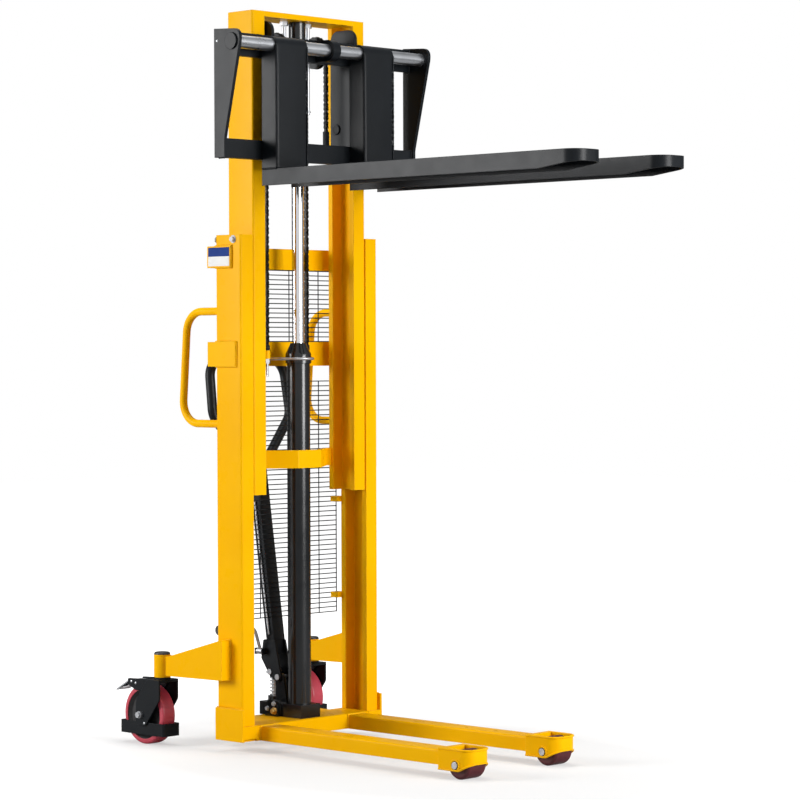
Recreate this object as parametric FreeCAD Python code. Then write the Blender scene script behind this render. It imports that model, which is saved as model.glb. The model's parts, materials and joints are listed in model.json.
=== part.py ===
import FreeCAD
import Part
import math
import os
from FreeCAD import Vector

# Hand pallet stacker, mast raised. Millimetres, +X towards the fork tips, +Y to the left, +Z up.
# While modelling, x = 0 is the front face of the mast. On export the origin moves to the floor
# under the middle of the overall box.

# Mast channels
MAST_DEPTH = 103.0
CHANNEL_WIDTH = 46.0
FLANGE = 16.0
WEB = 8.0
CHANNEL_EDGE = 6.0
CHANNEL_ROOT = 4.0
MAST_HALF_WIDTH = 268.0
STAGE_GAP = 2.0
OUTER_BOTTOM = 33.0
OUTER_LENGTH = 1411.0
INNER_LENGTH = 1350.0

# Lift travel: the inner mast, then the crosshead on its guide rods
INNER_LIFT = 640.0
FREE_LIFT = 126.5
LOWERED_GAP = 2.0
RUN_GAP = 0.3
FIT = 0.05

# Base
BASE_TOP = 76.0
BASE_FRONT = 7.0
BASE_REAR = -170.0
BASE_WALL = 7.0
BASE_REAR_HALF = 170.0
LEG_Y = 172.0
LEG_WIDTH = 68.0
LEG_TOP = 73.0
LEG_WALL = 6.0
LEG_END_HEEL = 19.0
LEG_END_FRONT_WALL = 5.0
LEG_END_WIDTH = 92.0
LEG_END_WALL = 8.5
LEG_END_TOP = 81.0
LEG_END_BOTTOM = 24.0
LEG_END_NOSE = 32.0
LEG_POCKET_ROUND = 16.0
LEG_POCKET_GAP = 3.0
LEG_END_SILL = 12.0
LEG_END_RISE = 18.0
LOAD_ROLLER_X = 761.0
LOAD_ROLLER_RADIUS = 39.0
LOAD_ROLLER_WIDTH = 68.0
LOAD_ROLLER_ROUND = 8.0
LOAD_AXLE_RADIUS = 8.0
LOAD_BOLT_RADIUS = 9.5
LOAD_BOLT_HEAD = 4.0
SHOE_PLATE = 8.0
SHOE_HEIGHT = 90.0
SHOE_FRONT_LOW = 7.0
SHOE_FRONT_HEIGHT = 36.0

# Cross straps, mesh guard and side handles
STRAP_PLATE = 6.0
STRAP_STANDOFF = 27.0
TOP_STRAP_FRONT = -35.0
MIDDLE_STRAP_FRONT = -18.0
STRAP_BEND = 8.0
TOP_STRAP_LOW = 1353.0
TOP_STRAP_HEIGHT = 60.0
MIDDLE_STRAP_LOW = 1077.0
MIDDLE_STRAP_HEIGHT = 69.0
WIRE = 3.0
MESH_PITCH = 14.2
MESH_LOW = 356.0
MESH_GAP_UNDER_STRAP = 43.0
MESH_SIDE_LAP = 10.0
MESH_UPRIGHT_FIRST = -74.0
MESH_UPRIGHT_PITCH = 117.0
CLIP_HEIGHT = 16.0
CLIP_WIDTH = 30.0
CLIP_INSET = 16.0
CLIP_LOW = 400.0
CLIP_PITCH = 280.0
HANDLE_TUBE = 22.0
HANDLE_INSET = 23.0
HANDLE_TOP = 1232.0
HANDLE_LOW = 916.0
HANDLE_REACH_TOP = 144.0
HANDLE_REACH_LOW = 168.0
HANDLE_BEND = 62.0
PAD_LOW = 54.0
PAD_HEIGHT = 50.0
SCREW_RADIUS = 4.0
SCREW_HEAD_RADIUS = 7.0
SCREW_HEAD = 7.0
SCREW_DROP = 13.0
SCREW_X = -30.0
REAR_SCREW_INSET = 10.0

# Hydraulic cylinder and piston
CYLINDER_X = -50.0
CYLINDER_RADIUS = 33.0
CYLINDER_BORE = 25.0
CYLINDER_TOP = 1085.0
GLAND_RADIUS = 37.0
GLAND_COLLAR = 26.0
GLAND_CONE = 32.0
GLAND_MOUTH = 22.0
ROD_RADIUS = 17.5
PISTON_HEIGHT = 40.0
PISTON_BELOW_GLAND = 45.0
CLAMP_ROD = 8.0
CLAMP_Z = 1098.0

# Chains, crosshead and guide rods
CHAIN_Y = 78.4
CHAIN_PITCH = 12.7
CHAIN_PLATE = 12.0
CHAIN_WAIST = 8.4
CHAIN_WIDTH = 10.0
WHEEL_PITCH_RADIUS = 41.5
WHEEL_FLANGE = 45.0
WHEEL_WIDTH = 16.0
WHEEL_X = -55.5
WHEEL_DROP = 96.0
STUB_RADIUS = 12.0
CROSSHEAD_DEPTH = 44.0
CROSSHEAD_HEIGHT = 36.0
ROD_HEAD_RADIUS = 24.0
WHEEL_COLLAR = 3.5
WHEEL_COLLAR_RADIUS = 17.0
GUIDE_Y = 46.0
GUIDE_RADIUS = 6.0
GUIDE_BOTTOM = 273.0
GUIDE_NUT_ACROSS = 22.0
GUIDE_NUT = 12.0
GUIDE_WASHER_RADIUS = 9.0
GUIDE_WASHER = 3.0
TOP_BEAM = 15.0
TOP_BEAM_REAR = 3.0
ANCHOR_TOP = 1137.0
ANCHOR_BRACKET = 24.0
ANCHOR_BRACKET_WIDTH = 18.0
ANCHOR_CLEVIS = 15.0
ANCHOR_TAIL = 50.0
ANCHOR_BOLT_RADIUS = 5.0
ANCHOR_NUT_ACROSS = 17.0
ANCHOR_NUT = 14.0

# Lower tie of the inner mast, bowed round the cylinder
TIE_LOW = 70.0
TIE_HEIGHT = 51.0
TIE_PLATE = 9.0
TIE_BOW_GAP = 4.0
TIE_FLAT_HALF = 40.0
TIE_SIDE = 150.0

# Carriage
ROLLER_CLEARANCE = 0.3
ROLLER_WIDTH = 28.0
MAST_ROLLER_RISE = 45.0
MAST_ROLLER_SIDE = 4.0
CARRIAGE_PLATE_GAP = 6.0
CARRIAGE_PLATE = 10.0
CARRIAGE_PLATE_REAR = -76.0
CARRIAGE_PLATE_LOW = 82.0
CARRIAGE_PLATE_HIGH = 418.0
CARRIAGE_PLATE_ROUND = 30.0
CARRIAGE_ROLLER_LOW = 135.0
CARRIAGE_ROLLER_HIGH = 367.0
BAR_X = 23.0
LOWER_BAR_DEPTH = 23.5
LOWER_BAR_LOW = 26.0
LOWER_BAR_HEIGHT = 53.0
UPPER_BAR_DEPTH = 16.0
UPPER_BAR_HEIGHT = 64.0
LUG_WIDTH = 28.0
LUG_RADIUS = 30.0
SHAFT_X = 84.0
SHAFT_RISE = 340.0
SHAFT_RADIUS = 18.0
SHAFT_DISC_RADIUS = 23.0
SHAFT_DISC = 5.0
SIDE_PLATE_Y = 366.0
SIDE_PLATE_REAR = 14.0
SIDE_PLATE = 10.0
SIDE_PLATE_TOP = 378.0
SIDE_PLATE_FOOT = 40.0
SIDE_PLATE_BOSS = 32.0
CLEVIS_HEIGHT = 44.0
CLEVIS_SIDE = 14.0
CHAIN_LUG_HEIGHT = 16.0

# Forks
FORK_Y = 171.0
FORK_WIDTH = 116.0
FORK_HEIGHT = 46.0
FORK_PLATE = 6.0
FORK_WALL = 5.0
FORK_TIP_X = 1188.0
FORK_NOSE = 44.0
FORK_TAPER_START = 1060.0
FORK_TIP_HEIGHT = 30.0
SHANK_PLATE = 8.0
FORK_TUBE = 24.0
FORK_BORE_GAP = 0.2
NEST_GAP = 3.0

# Pump, tiller and release pedal
BLOCK_HALF_WIDTH = 38.0
BLOCK_FRONT = -5.0
BLOCK_REAR = -177.0
BLOCK_HEIGHT = 38.0
PLUNGER_X = -150.0
PLUNGER_RADIUS = 11.0
PLUNGER_DEPTH = 6.0
COLLAR_RADIUS = 22.0
COLLAR_HEIGHT = 14.0
SPRING_WIRE = 4.0
SPRING_RADIUS = 14.5
SPRING_LENGTH = 54.0
SPRING_TURNS = 5
CAP_RADIUS = 16.5
CAP_HEIGHT = 5.7
VALVE_X = -116.0
VALVE_HALF_WIDTH = 26.0
VALVE_HEIGHT = 46.0
VALVE_DEPTH = 12.0
PIVOT_X = -118.0
PIVOT_Z = 185.0
PIVOT_RADIUS = 7.0
EAR_INNER = 8.0
EAR_PLATE = 8.5
EAR_ROUND = 14.0
EAR_FOOT = 30.0
LEVER_PLATE = 5.0
LEVER_GAP = 1.0
LEVER_TOP = 290.0
LEVER_BRIDGE = 40.0
LEVER_HORN = 36.0
LEVER_HORN_RISE = 38.0
LEVER_TOP_REAR = 27.0
LEVER_TOP_FRONT = 20.0
PIN_HEAD = 3.0
PIN_HEAD_RADIUS = 8.5
LEVER_ROLLER_RADIUS = 10.0
LEVER_ROLLER_HALF = 16.5
LEVER_PIN_RADIUS = 6.0
STEM_DEPTH = 32.0
STEM_WIDTH = 42.0
STEM_WALL = 3.0
STEM_LENGTH = 520.0
STEM_BASE_X = -149.0
TILLER_LEAN = 8.5
LOOP_TUBE = 28.0
LOOP_FOOT = 40.0
LOOP_SHOULDER_Y = 152.0
LOOP_SHOULDER_Z = 130.0
LOOP_TOP_Y = 145.0
LOOP_RISE = 169.0
LOOP_BEND = 58.0
LOOP_FOOT_BEND = 36.0
RELEASE_ROD = 6.0
RELEASE_ROD_LENGTH = 400.0
PEDAL_X = -177.0
PEDAL_Y = -33.0
PEDAL_Z = 257.0
PEDAL_HUB_RADIUS = 9.0
PEDAL_HUB_LENGTH = 22.0
PEDAL_PIN_RADIUS = 4.0
PEDAL_ROD = 9.0
PEDAL_KNEE_Y = -58.0
PEDAL_KNEE_Z = 328.0
PEDAL_END_Y = -160.0
PEDAL_BEND = 28.0
KNOB_RADIUS = 14.0
KNOB_LENGTH = 36.0

# Casters
CASTER_X = -307.0
CASTER_OFFSET = 26.5
CASTER_TRAIL = 54.0
WHEEL_RADIUS = 85.0
TREAD_WIDTH = 48.0
HUB_RADIUS = 70.0
HUB_WIDTH = 42.0
TREAD_ROUND = 8.0
CASTER_AXLE = 8.0
CASTER_AXLE_HEAD = 10.0
CASTER_AXLE_HEAD_LENGTH = 6.0
CHEEK_GAP = 7.5
CHEEK = 5.0
YOKE_HEIGHT = 188.5
YOKE_PLATE = 8.0
YOKE_FRONT = 27.0
YOKE_REAR = -25.0
CHEEK_DROP = 56.0
CHEEK_BOSS = 20.0
CHEEK_FOOT = 31.0
STEM_RADIUS = 15.0
SLEEVE_RADIUS = 23.5
SLEEVE_LOW = 194.0
SLEEVE_HEIGHT = 65.0
CASTER_CAP = 7.0
GUARD_LOW = 28.0
GUARD_HEIGHT = 36.0
GUARD_HALF_LENGTH = 93.0
GUARD_PLATE = 4.0
GUARD_BEND = 6.0
ARM_ROOT_FRONT = -48.0
ARM_ROOT_LOW = 203.0
ARM_ROOT_HIGH = 317.0
ARM_TIP_LOW = 199.0
ARM_TIP_HIGH = 255.0
ARM_WALL = 6.0
ARM_WIDTH = 34.0
BRAKE_PIVOT_X = -100.0
BRAKE_PIVOT_Z = 176.5
BRAKE_PIN = 4.0
BRAKE_HALF_WIDTH = 25.5
BRAKE_EAR = 4.0
BRAKE_REACH = 172.0
BRAKE_DROP = 27.0
BRAKE_EAR_ROOT = 22.0
BRAKE_EAR_DEPTH = 36.0
BRAKE_LEVER = 4.0

# Places worked out from the sizes above
OUTER_TOP = OUTER_BOTTOM + OUTER_LENGTH
INNER_BOTTOM = BASE_TOP + LOWERED_GAP + INNER_LIFT
INNER_TOP = INNER_BOTTOM + INNER_LENGTH
INNER_HALF_WIDTH = MAST_HALF_WIDTH - CHANNEL_WIDTH - STAGE_GAP
INNER_TIP_Y = INNER_HALF_WIDTH - CHANNEL_WIDTH
OUTER_TIP_Y = MAST_HALF_WIDTH - CHANNEL_WIDTH
CHANNEL_MIDDLE = -MAST_DEPTH / 2
CHANNEL_GAP = MAST_DEPTH - 2 * FLANGE
ROLLER_RADIUS = CHANNEL_GAP / 2 - ROLLER_CLEARANCE
CROSSHEAD_LIFT = INNER_LIFT + FREE_LIFT
FORK_LIFT = 2 * CROSSHEAD_LIFT
FORK_TOP = LEG_END_TOP + NEST_GAP + FORK_PLATE + FORK_LIFT
SHAFT_Z = FORK_TOP + SHAFT_RISE
WHEEL_Z = INNER_TOP - WHEEL_DROP
BLOCK_TOP = BASE_TOP + BLOCK_HEIGHT
LEG_END_START = LOAD_ROLLER_X - LOAD_ROLLER_RADIUS - LEG_POCKET_GAP - LEG_END_HEEL
LEG_END_FRONT = LOAD_ROLLER_X + LOAD_ROLLER_RADIUS + LEG_POCKET_GAP + LEG_END_FRONT_WALL
CASTER_Y = MAST_HALF_WIDTH + CASTER_OFFSET
HANDLE_Y = MAST_HALF_WIDTH - HANDLE_INSET
STRAP_REAR = -MAST_DEPTH - STRAP_STANDOFF - STRAP_PLATE
STRAP_INNER = STRAP_REAR + STRAP_PLATE
REAR_CHAIN_X = WHEEL_X - WHEEL_PITCH_RADIUS
FRONT_CHAIN_X = WHEEL_X + WHEEL_PITCH_RADIUS
LOWER_BAR_BOTTOM = FORK_TOP + LOWER_BAR_LOW
LOWER_BAR_TOP = LOWER_BAR_BOTTOM + LOWER_BAR_HEIGHT
CLEVIS_TOP = LOWER_BAR_TOP + CLEVIS_HEIGHT
CARRIAGE_PLATE_OUTER = INNER_TIP_Y - CARRIAGE_PLATE_GAP
SPRING_LOW = BLOCK_TOP + COLLAR_HEIGHT
PLUNGER_TOP = SPRING_LOW + SPRING_LENGTH + CAP_HEIGHT
LEVER_ROLLER_Z = PLUNGER_TOP + RUN_GAP + LEVER_ROLLER_RADIUS
LEVER_INNER = EAR_INNER + EAR_PLATE + LEVER_GAP
CHEEK_INNER = TREAD_WIDTH / 2 + CHEEK_GAP
CHEEK_OUTER = CHEEK_INNER + CHEEK
MACHINE_REAR = CASTER_X - BRAKE_REACH
ORIGIN_X = (FORK_TIP_X + MACHINE_REAR) / 2


def flat(u, v):
    """Plan point: x and y at the floor."""
    return Vector(u, v, 0)


def upright(u, v):
    """Side-view point: x and z on the middle plane."""
    return Vector(u, 0, v)


def crosswise(u, v):
    """Front-view point: y and z at x = 0."""
    return Vector(0, u, v)


def rounded_edges(corners, place, closed=True):
    """Straight runs and tangent arcs through (u, v, radius) corners."""
    count = len(corners)
    runs = []
    for i in range(count):
        corner = place(corners[i][0], corners[i][1])
        radius = corners[i][2]
        at_end = not closed and i in (0, count - 1)
        if radius == 0 or at_end:
            runs.append((corner, None, corner))
            continue
        before = place(*corners[i - 1][:2]).sub(corner).normalize()
        after = place(*corners[(i + 1) % count][:2]).sub(corner).normalize()
        half = math.acos(before.dot(after)) / 2
        reach = radius / math.tan(half)
        towards = before.add(after).normalize()
        middle = corner.add(towards * (radius / math.sin(half) - radius))
        runs.append((corner.add(before * reach), middle, corner.add(after * reach)))
    edges = []
    for i, (start, middle, end) in enumerate(runs):
        if middle is not None:
            edges.append(Part.Arc(start, middle, end).toShape())
        if i + 1 < count or closed:
            following = runs[(i + 1) % count][0]
            if end.distanceToPoint(following) > 1e-6:
                edges.append(Part.LineSegment(end, following).toShape())
    return edges


def outline_face(corners, place):
    return Part.Face(Part.Wire(rounded_edges(corners, place)))


def plan_prism(corners, low, high):
    face = outline_face(corners, flat)
    face.translate(Vector(0, 0, low))
    return face.extrude(Vector(0, 0, high - low))


def side_prism(corners, right, left):
    face = outline_face(corners, upright)
    face.translate(Vector(0, right, 0))
    return face.extrude(Vector(0, left - right, 0))


def block(x, y, z):
    """Box between the (low, high) pairs x, y and z."""
    low = Vector(x[0], y[0], z[0])
    return Part.makeBox(x[1] - x[0], y[1] - y[0], z[1] - z[0], low)


def upright_bar(radius, x, y, low, high):
    return Part.makeCylinder(radius, high - low, Vector(x, y, low), Vector(0, 0, 1))


def cross_bar(radius, x, z, right, left):
    return Part.makeCylinder(radius, left - right, Vector(x, right, z), Vector(0, 1, 0))


def turned(corners, x, y):
    """Body of revolution about a vertical axis from (radius, height, round) corners."""
    body = outline_face(corners, upright).revolve(Vector(0, 0, 0), Vector(0, 0, 1), 360)
    body.translate(Vector(x, y, 0))
    return body


def turned_across(corners, x, z):
    """Body of revolution about an axis along Y from (radius, y, round) corners."""
    face = outline_face(corners, lambda u, v: Vector(u, v, 0))
    body = face.revolve(Vector(0, 0, 0), Vector(0, 1, 0), 360)
    body.translate(Vector(x, 0, z))
    return body


def hex_nut(across, x, y, low, high):
    points = []
    for i in range(7):
        angle = math.radians(60 * i)
        reach = across / math.sqrt(3)
        points.append(Vector(x + reach * math.cos(angle), y + reach * math.sin(angle), low))
    return Part.Face(Part.makePolygon(points)).extrude(Vector(0, 0, high - low))


def bent_tube(corners, place, radius):
    """Round bar along straight runs and tangent arcs, open at both ends."""
    path = Part.Wire(rounded_edges(corners, place, closed=False))
    start = path.OrderedVertexes[0].Point
    heading = path.OrderedVertexes[1].Point.sub(start)
    ring = Part.Wire(Part.Circle(start, heading, radius).toShape())
    return path.makePipeShell([ring], True, False)


def mirrored(shape):
    return shape.mirror(Vector(0, 0, 0), Vector(0, 1, 0))


def pair(shape):
    """The left piece and its right twin."""
    return Part.makeCompound([mirrored(shape), shape])


def channel(outer_face, low, high):
    """Left rolled channel, open towards the middle of the machine."""
    tip = outer_face - CHANNEL_WIDTH
    root = outer_face - WEB
    rear_flange = -MAST_DEPTH + FLANGE
    corners = [
        (0, outer_face, CHANNEL_EDGE),
        (0, tip, 0),
        (-FLANGE, tip, 0),
        (-FLANGE, root, CHANNEL_ROOT),
        (rear_flange, root, CHANNEL_ROOT),
        (rear_flange, tip, 0),
        (-MAST_DEPTH, tip, 0),
        (-MAST_DEPTH, outer_face, CHANNEL_EDGE),
    ]
    return plan_prism(corners, low, high)


def outer_post():
    post = channel(MAST_HALF_WIDTH, OUTER_BOTTOM, OUTER_TOP)
    for screw in adjusting_shanks(SCREW_RADIUS + FIT):
        post = post.cut(screw)
    for i in range(3):
        level = CLIP_LOW + i * CLIP_PITCH
        clip = block(
            (STRAP_INNER - (STRAP_PLATE - WIRE) / 2, -MAST_DEPTH),
            (OUTER_TIP_Y - CLIP_INSET, OUTER_TIP_Y - CLIP_INSET + CLIP_WIDTH),
            (level, level + CLIP_HEIGHT),
        )
        post = post.fuse(clip)
    return post.removeSplitter()


def wear_pad():
    high = OUTER_TOP - (PAD_LOW - PAD_HEIGHT)
    x = (-MAST_DEPTH + FLANGE + CHANNEL_ROOT, -FLANGE - CHANNEL_ROOT)
    y = (INNER_HALF_WIDTH + RUN_GAP, MAST_HALF_WIDTH - WEB)
    return block(x, y, (high - PAD_HEIGHT, high))


def adjusting_shanks(radius):
    """Shanks of the left post's two pad screws: one through the web, one through the rear flange."""
    z = OUTER_TOP - SCREW_DROP
    y = MAST_HALF_WIDTH - REAR_SCREW_INSET
    side = cross_bar(radius, SCREW_X, z, MAST_HALF_WIDTH - WEB, MAST_HALF_WIDTH)
    rear = Part.makeCylinder(radius, FLANGE, Vector(-MAST_DEPTH, y, z), Vector(1, 0, 0))
    return [side, rear]


def adjusting_screws():
    z = OUTER_TOP - SCREW_DROP
    y = MAST_HALF_WIDTH - REAR_SCREW_INSET
    side_head = cross_bar(SCREW_HEAD_RADIUS, SCREW_X, z, MAST_HALF_WIDTH, MAST_HALF_WIDTH + SCREW_HEAD)
    rear_head = Part.makeCylinder(SCREW_HEAD_RADIUS, SCREW_HEAD, Vector(-MAST_DEPTH, y, z), Vector(-1, 0, 0))
    screws = []
    for shank, head in zip(adjusting_shanks(SCREW_RADIUS), (side_head, rear_head)):
        screws.append(pair(shank.fuse(head).removeSplitter()))
    return Part.makeCompound(screws)


def cross_strap(front, low, height):
    outer = MAST_HALF_WIDTH + STRAP_PLATE
    corners = [
        (front, outer, 0),
        (STRAP_REAR, outer, STRAP_BEND),
        (STRAP_REAR, -outer, STRAP_BEND),
        (front, -outer, 0),
        (front, -MAST_HALF_WIDTH, 0),
        (STRAP_INNER, -MAST_HALF_WIDTH, STRAP_BEND - STRAP_PLATE),
        (STRAP_INNER, MAST_HALF_WIDTH, STRAP_BEND - STRAP_PLATE),
        (front, MAST_HALF_WIDTH, 0),
    ]
    return plan_prism(corners, low, low + height)


def mesh_panel(low, high):
    """One flat net: a face with a gap between each pair of wires, given the wire's thickness."""
    half = OUTER_TIP_Y + MESH_SIDE_LAP
    uprights = [MESH_UPRIGHT_FIRST + i * MESH_UPRIGHT_PITCH for i in range(3)]
    edges_y = [-half + WIRE] + [y + side * WIRE / 2 for y in uprights for side in (-1, 1)] + [half - WIRE]
    rows = round((high - low - WIRE) / MESH_PITCH)
    pitch = (high - low - WIRE) / rows
    rim = [(-half, low), (half, low), (half, high), (-half, high)]
    wires = [Part.makePolygon([crosswise(*p) for p in rim + rim[:1]])]
    for row in range(rows):
        bottom = low + WIRE + row * pitch
        top = low + (row + 1) * pitch
        for right, left in zip(edges_y[0::2], edges_y[1::2]):
            gap = [(right, bottom), (left, bottom), (left, top), (right, top), (right, bottom)]
            wires.append(Part.makePolygon([crosswise(*p) for p in gap]))
    face = Part.Face(wires, "Part::FaceMakerBullseye")
    face.translate(Vector(STRAP_INNER - (STRAP_PLATE + WIRE) / 2, 0, 0))
    return face.extrude(Vector(WIRE, 0, 0))


def side_handle():
    corners = [
        (-MAST_DEPTH, HANDLE_TOP, 0),
        (-MAST_DEPTH - HANDLE_REACH_TOP, HANDLE_TOP, HANDLE_BEND),
        (-MAST_DEPTH - HANDLE_REACH_LOW, HANDLE_LOW, HANDLE_BEND),
        (-MAST_DEPTH, HANDLE_LOW, 0),
    ]
    tube = bent_tube(corners, upright, HANDLE_TUBE / 2)
    tube.translate(Vector(0, HANDLE_Y, 0))
    return tube


def post_shoe():
    side = block(
        (-MAST_DEPTH, SHOE_PLATE),
        (MAST_HALF_WIDTH, MAST_HALF_WIDTH + SHOE_PLATE),
        (OUTER_BOTTOM, OUTER_BOTTOM + SHOE_HEIGHT),
    )
    low = OUTER_BOTTOM + SHOE_FRONT_LOW
    front = block((0, SHOE_PLATE), (OUTER_TIP_Y, MAST_HALF_WIDTH), (low, low + SHOE_FRONT_HEIGHT))
    return side.fuse(front).removeSplitter()


def base_beam():
    corners = [
        (BASE_REAR, OUTER_BOTTOM, 0),
        (BASE_REAR, BASE_TOP, BASE_WALL),
        (BASE_FRONT, BASE_TOP, BASE_WALL),
        (BASE_FRONT, OUTER_BOTTOM, 0),
        (BASE_FRONT - BASE_WALL, OUTER_BOTTOM, 0),
        (BASE_FRONT - BASE_WALL, BASE_TOP - BASE_WALL, 0),
        (BASE_REAR + BASE_WALL, BASE_TOP - BASE_WALL, 0),
        (BASE_REAR + BASE_WALL, OUTER_BOTTOM, 0),
    ]
    beam = side_prism(corners, -OUTER_TIP_Y, OUTER_TIP_Y)
    corner = block((BASE_REAR, -MAST_DEPTH), (BASE_REAR_HALF, OUTER_TIP_Y), (OUTER_BOTTOM, BASE_TOP))
    return beam.cut(corner).cut(mirrored(corner))


def support_leg():
    """Inverted channel, bent from plate."""
    half = LEG_WIDTH / 2
    inner = half - LEG_WALL
    corners = [
        (LEG_Y - half, OUTER_BOTTOM, 0),
        (LEG_Y - half, LEG_TOP, LEG_WALL),
        (LEG_Y + half, LEG_TOP, LEG_WALL),
        (LEG_Y + half, OUTER_BOTTOM, 0),
        (LEG_Y + inner, OUTER_BOTTOM, 0),
        (LEG_Y + inner, LEG_TOP - LEG_WALL, 0),
        (LEG_Y - inner, LEG_TOP - LEG_WALL, 0),
        (LEG_Y - inner, OUTER_BOTTOM, 0),
    ]
    face = outline_face(corners, crosswise)
    face.translate(Vector(BASE_FRONT, 0, 0))
    return face.extrude(Vector(LEG_END_START - BASE_FRONT, 0, 0))


def leg_end():
    """Cast roller housing: open above and below the roller, with a round nose and a raised sill."""
    half = LEG_END_WIDTH / 2
    end = LEG_END_FRONT
    outer = [
        (LEG_END_START, LEG_Y - half, 0),
        (end, LEG_Y - half, LEG_END_NOSE),
        (end, LEG_Y + half, LEG_END_NOSE),
        (LEG_END_START, LEG_Y + half, 0),
    ]
    pocket_half = half - LEG_END_WALL
    pocket_rear = LEG_END_START + LEG_END_HEEL
    pocket_front = end - LEG_END_FRONT_WALL
    pocket = [
        (pocket_rear, LEG_Y - pocket_half, 0),
        (pocket_front, LEG_Y - pocket_half, LEG_POCKET_ROUND),
        (pocket_front, LEG_Y + pocket_half, LEG_POCKET_ROUND),
        (pocket_rear, LEG_Y + pocket_half, 0),
    ]
    body = plan_prism(outer, LEG_END_BOTTOM, LEG_END_TOP)
    body = body.cut(plan_prism(pocket, LEG_END_BOTTOM, LEG_END_TOP))
    sill = [
        (LOAD_ROLLER_X + LEG_END_SILL, LEG_END_BOTTOM, 0),
        (end, LEG_END_BOTTOM, 0),
        (end, LEG_END_BOTTOM + LEG_END_RISE, 0),
    ]
    body = body.cut(side_prism(sill, LEG_Y - half, LEG_Y + half))
    hole = cross_bar(LOAD_AXLE_RADIUS + FIT, LOAD_ROLLER_X, LOAD_ROLLER_RADIUS, LEG_Y - half, LEG_Y + half)
    return body.cut(hole)


def load_axle():
    half = LEG_END_WIDTH / 2
    head = half + LOAD_BOLT_HEAD
    axle = cross_bar(LOAD_AXLE_RADIUS, LOAD_ROLLER_X, LOAD_ROLLER_RADIUS, LEG_Y - half, LEG_Y + half)
    for near, far in ((-head, -half), (half, head)):
        bolt = cross_bar(LOAD_BOLT_RADIUS, LOAD_ROLLER_X, LOAD_ROLLER_RADIUS, LEG_Y + near, LEG_Y + far)
        axle = axle.fuse(bolt)
    return axle.removeSplitter()


def load_roller():
    half = LOAD_ROLLER_WIDTH / 2
    corners = [
        (LOAD_AXLE_RADIUS + FIT, -half, 0),
        (LOAD_ROLLER_RADIUS, -half, LOAD_ROLLER_ROUND),
        (LOAD_ROLLER_RADIUS, half, LOAD_ROLLER_ROUND),
        (LOAD_AXLE_RADIUS + FIT, half, 0),
    ]
    roller = turned_across(corners, LOAD_ROLLER_X, LOAD_ROLLER_RADIUS)
    roller.translate(Vector(0, LEG_Y, 0))
    return roller


def caster_arm():
    """Tapered box arm, open below, from the side of the post to the kingpin sleeve."""
    inner_side = MAST_HALF_WIDTH
    outer_side = MAST_HALF_WIDTH + ARM_WIDTH
    profile = [
        (ARM_ROOT_FRONT, ARM_ROOT_LOW, 0),
        (ARM_ROOT_FRONT, ARM_ROOT_HIGH, ARM_WALL),
        (CASTER_X + 1.4 * SLEEVE_RADIUS, ARM_TIP_HIGH, SLEEVE_RADIUS),
        (CASTER_X, ARM_TIP_HIGH, 0),
        (CASTER_X, ARM_TIP_LOW, 0),
    ]
    hollow = [
        (ARM_ROOT_FRONT - ARM_WALL, ARM_ROOT_LOW - ARM_WALL, 0),
        (ARM_ROOT_FRONT - ARM_WALL, ARM_ROOT_HIGH - 3 * ARM_WALL, 0),
        (CASTER_X + 1.4 * SLEEVE_RADIUS, ARM_TIP_HIGH - ARM_WALL, 0),
        (CASTER_X, ARM_TIP_HIGH - ARM_WALL, 0),
        (CASTER_X, ARM_TIP_LOW - ARM_WALL, 0),
    ]
    arm = side_prism(profile, inner_side, outer_side)
    arm = arm.cut(side_prism(hollow, inner_side + ARM_WALL, outer_side - ARM_WALL))
    top = SLEEVE_LOW + SLEEVE_HEIGHT
    arm = arm.fuse(upright_bar(SLEEVE_RADIUS, CASTER_X, CASTER_Y, SLEEVE_LOW, top))
    bore = upright_bar(STEM_RADIUS + FIT, CASTER_X, CASTER_Y, SLEEVE_LOW - ARM_WALL, top)
    return arm.cut(bore).removeSplitter()


def stem_cap():
    low = SLEEVE_LOW + SLEEVE_HEIGHT
    corners = [
        (0, low, 0),
        (SLEEVE_RADIUS - 0.5, low, 0),
        (SLEEVE_RADIUS - 0.5, low + CASTER_CAP, CASTER_CAP * 0.8),
        (0, low + CASTER_CAP, 0),
    ]
    return turned(corners, CASTER_X, CASTER_Y)


def caster_place(shape):
    shape.translate(Vector(CASTER_X, CASTER_Y, 0))
    return shape


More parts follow.
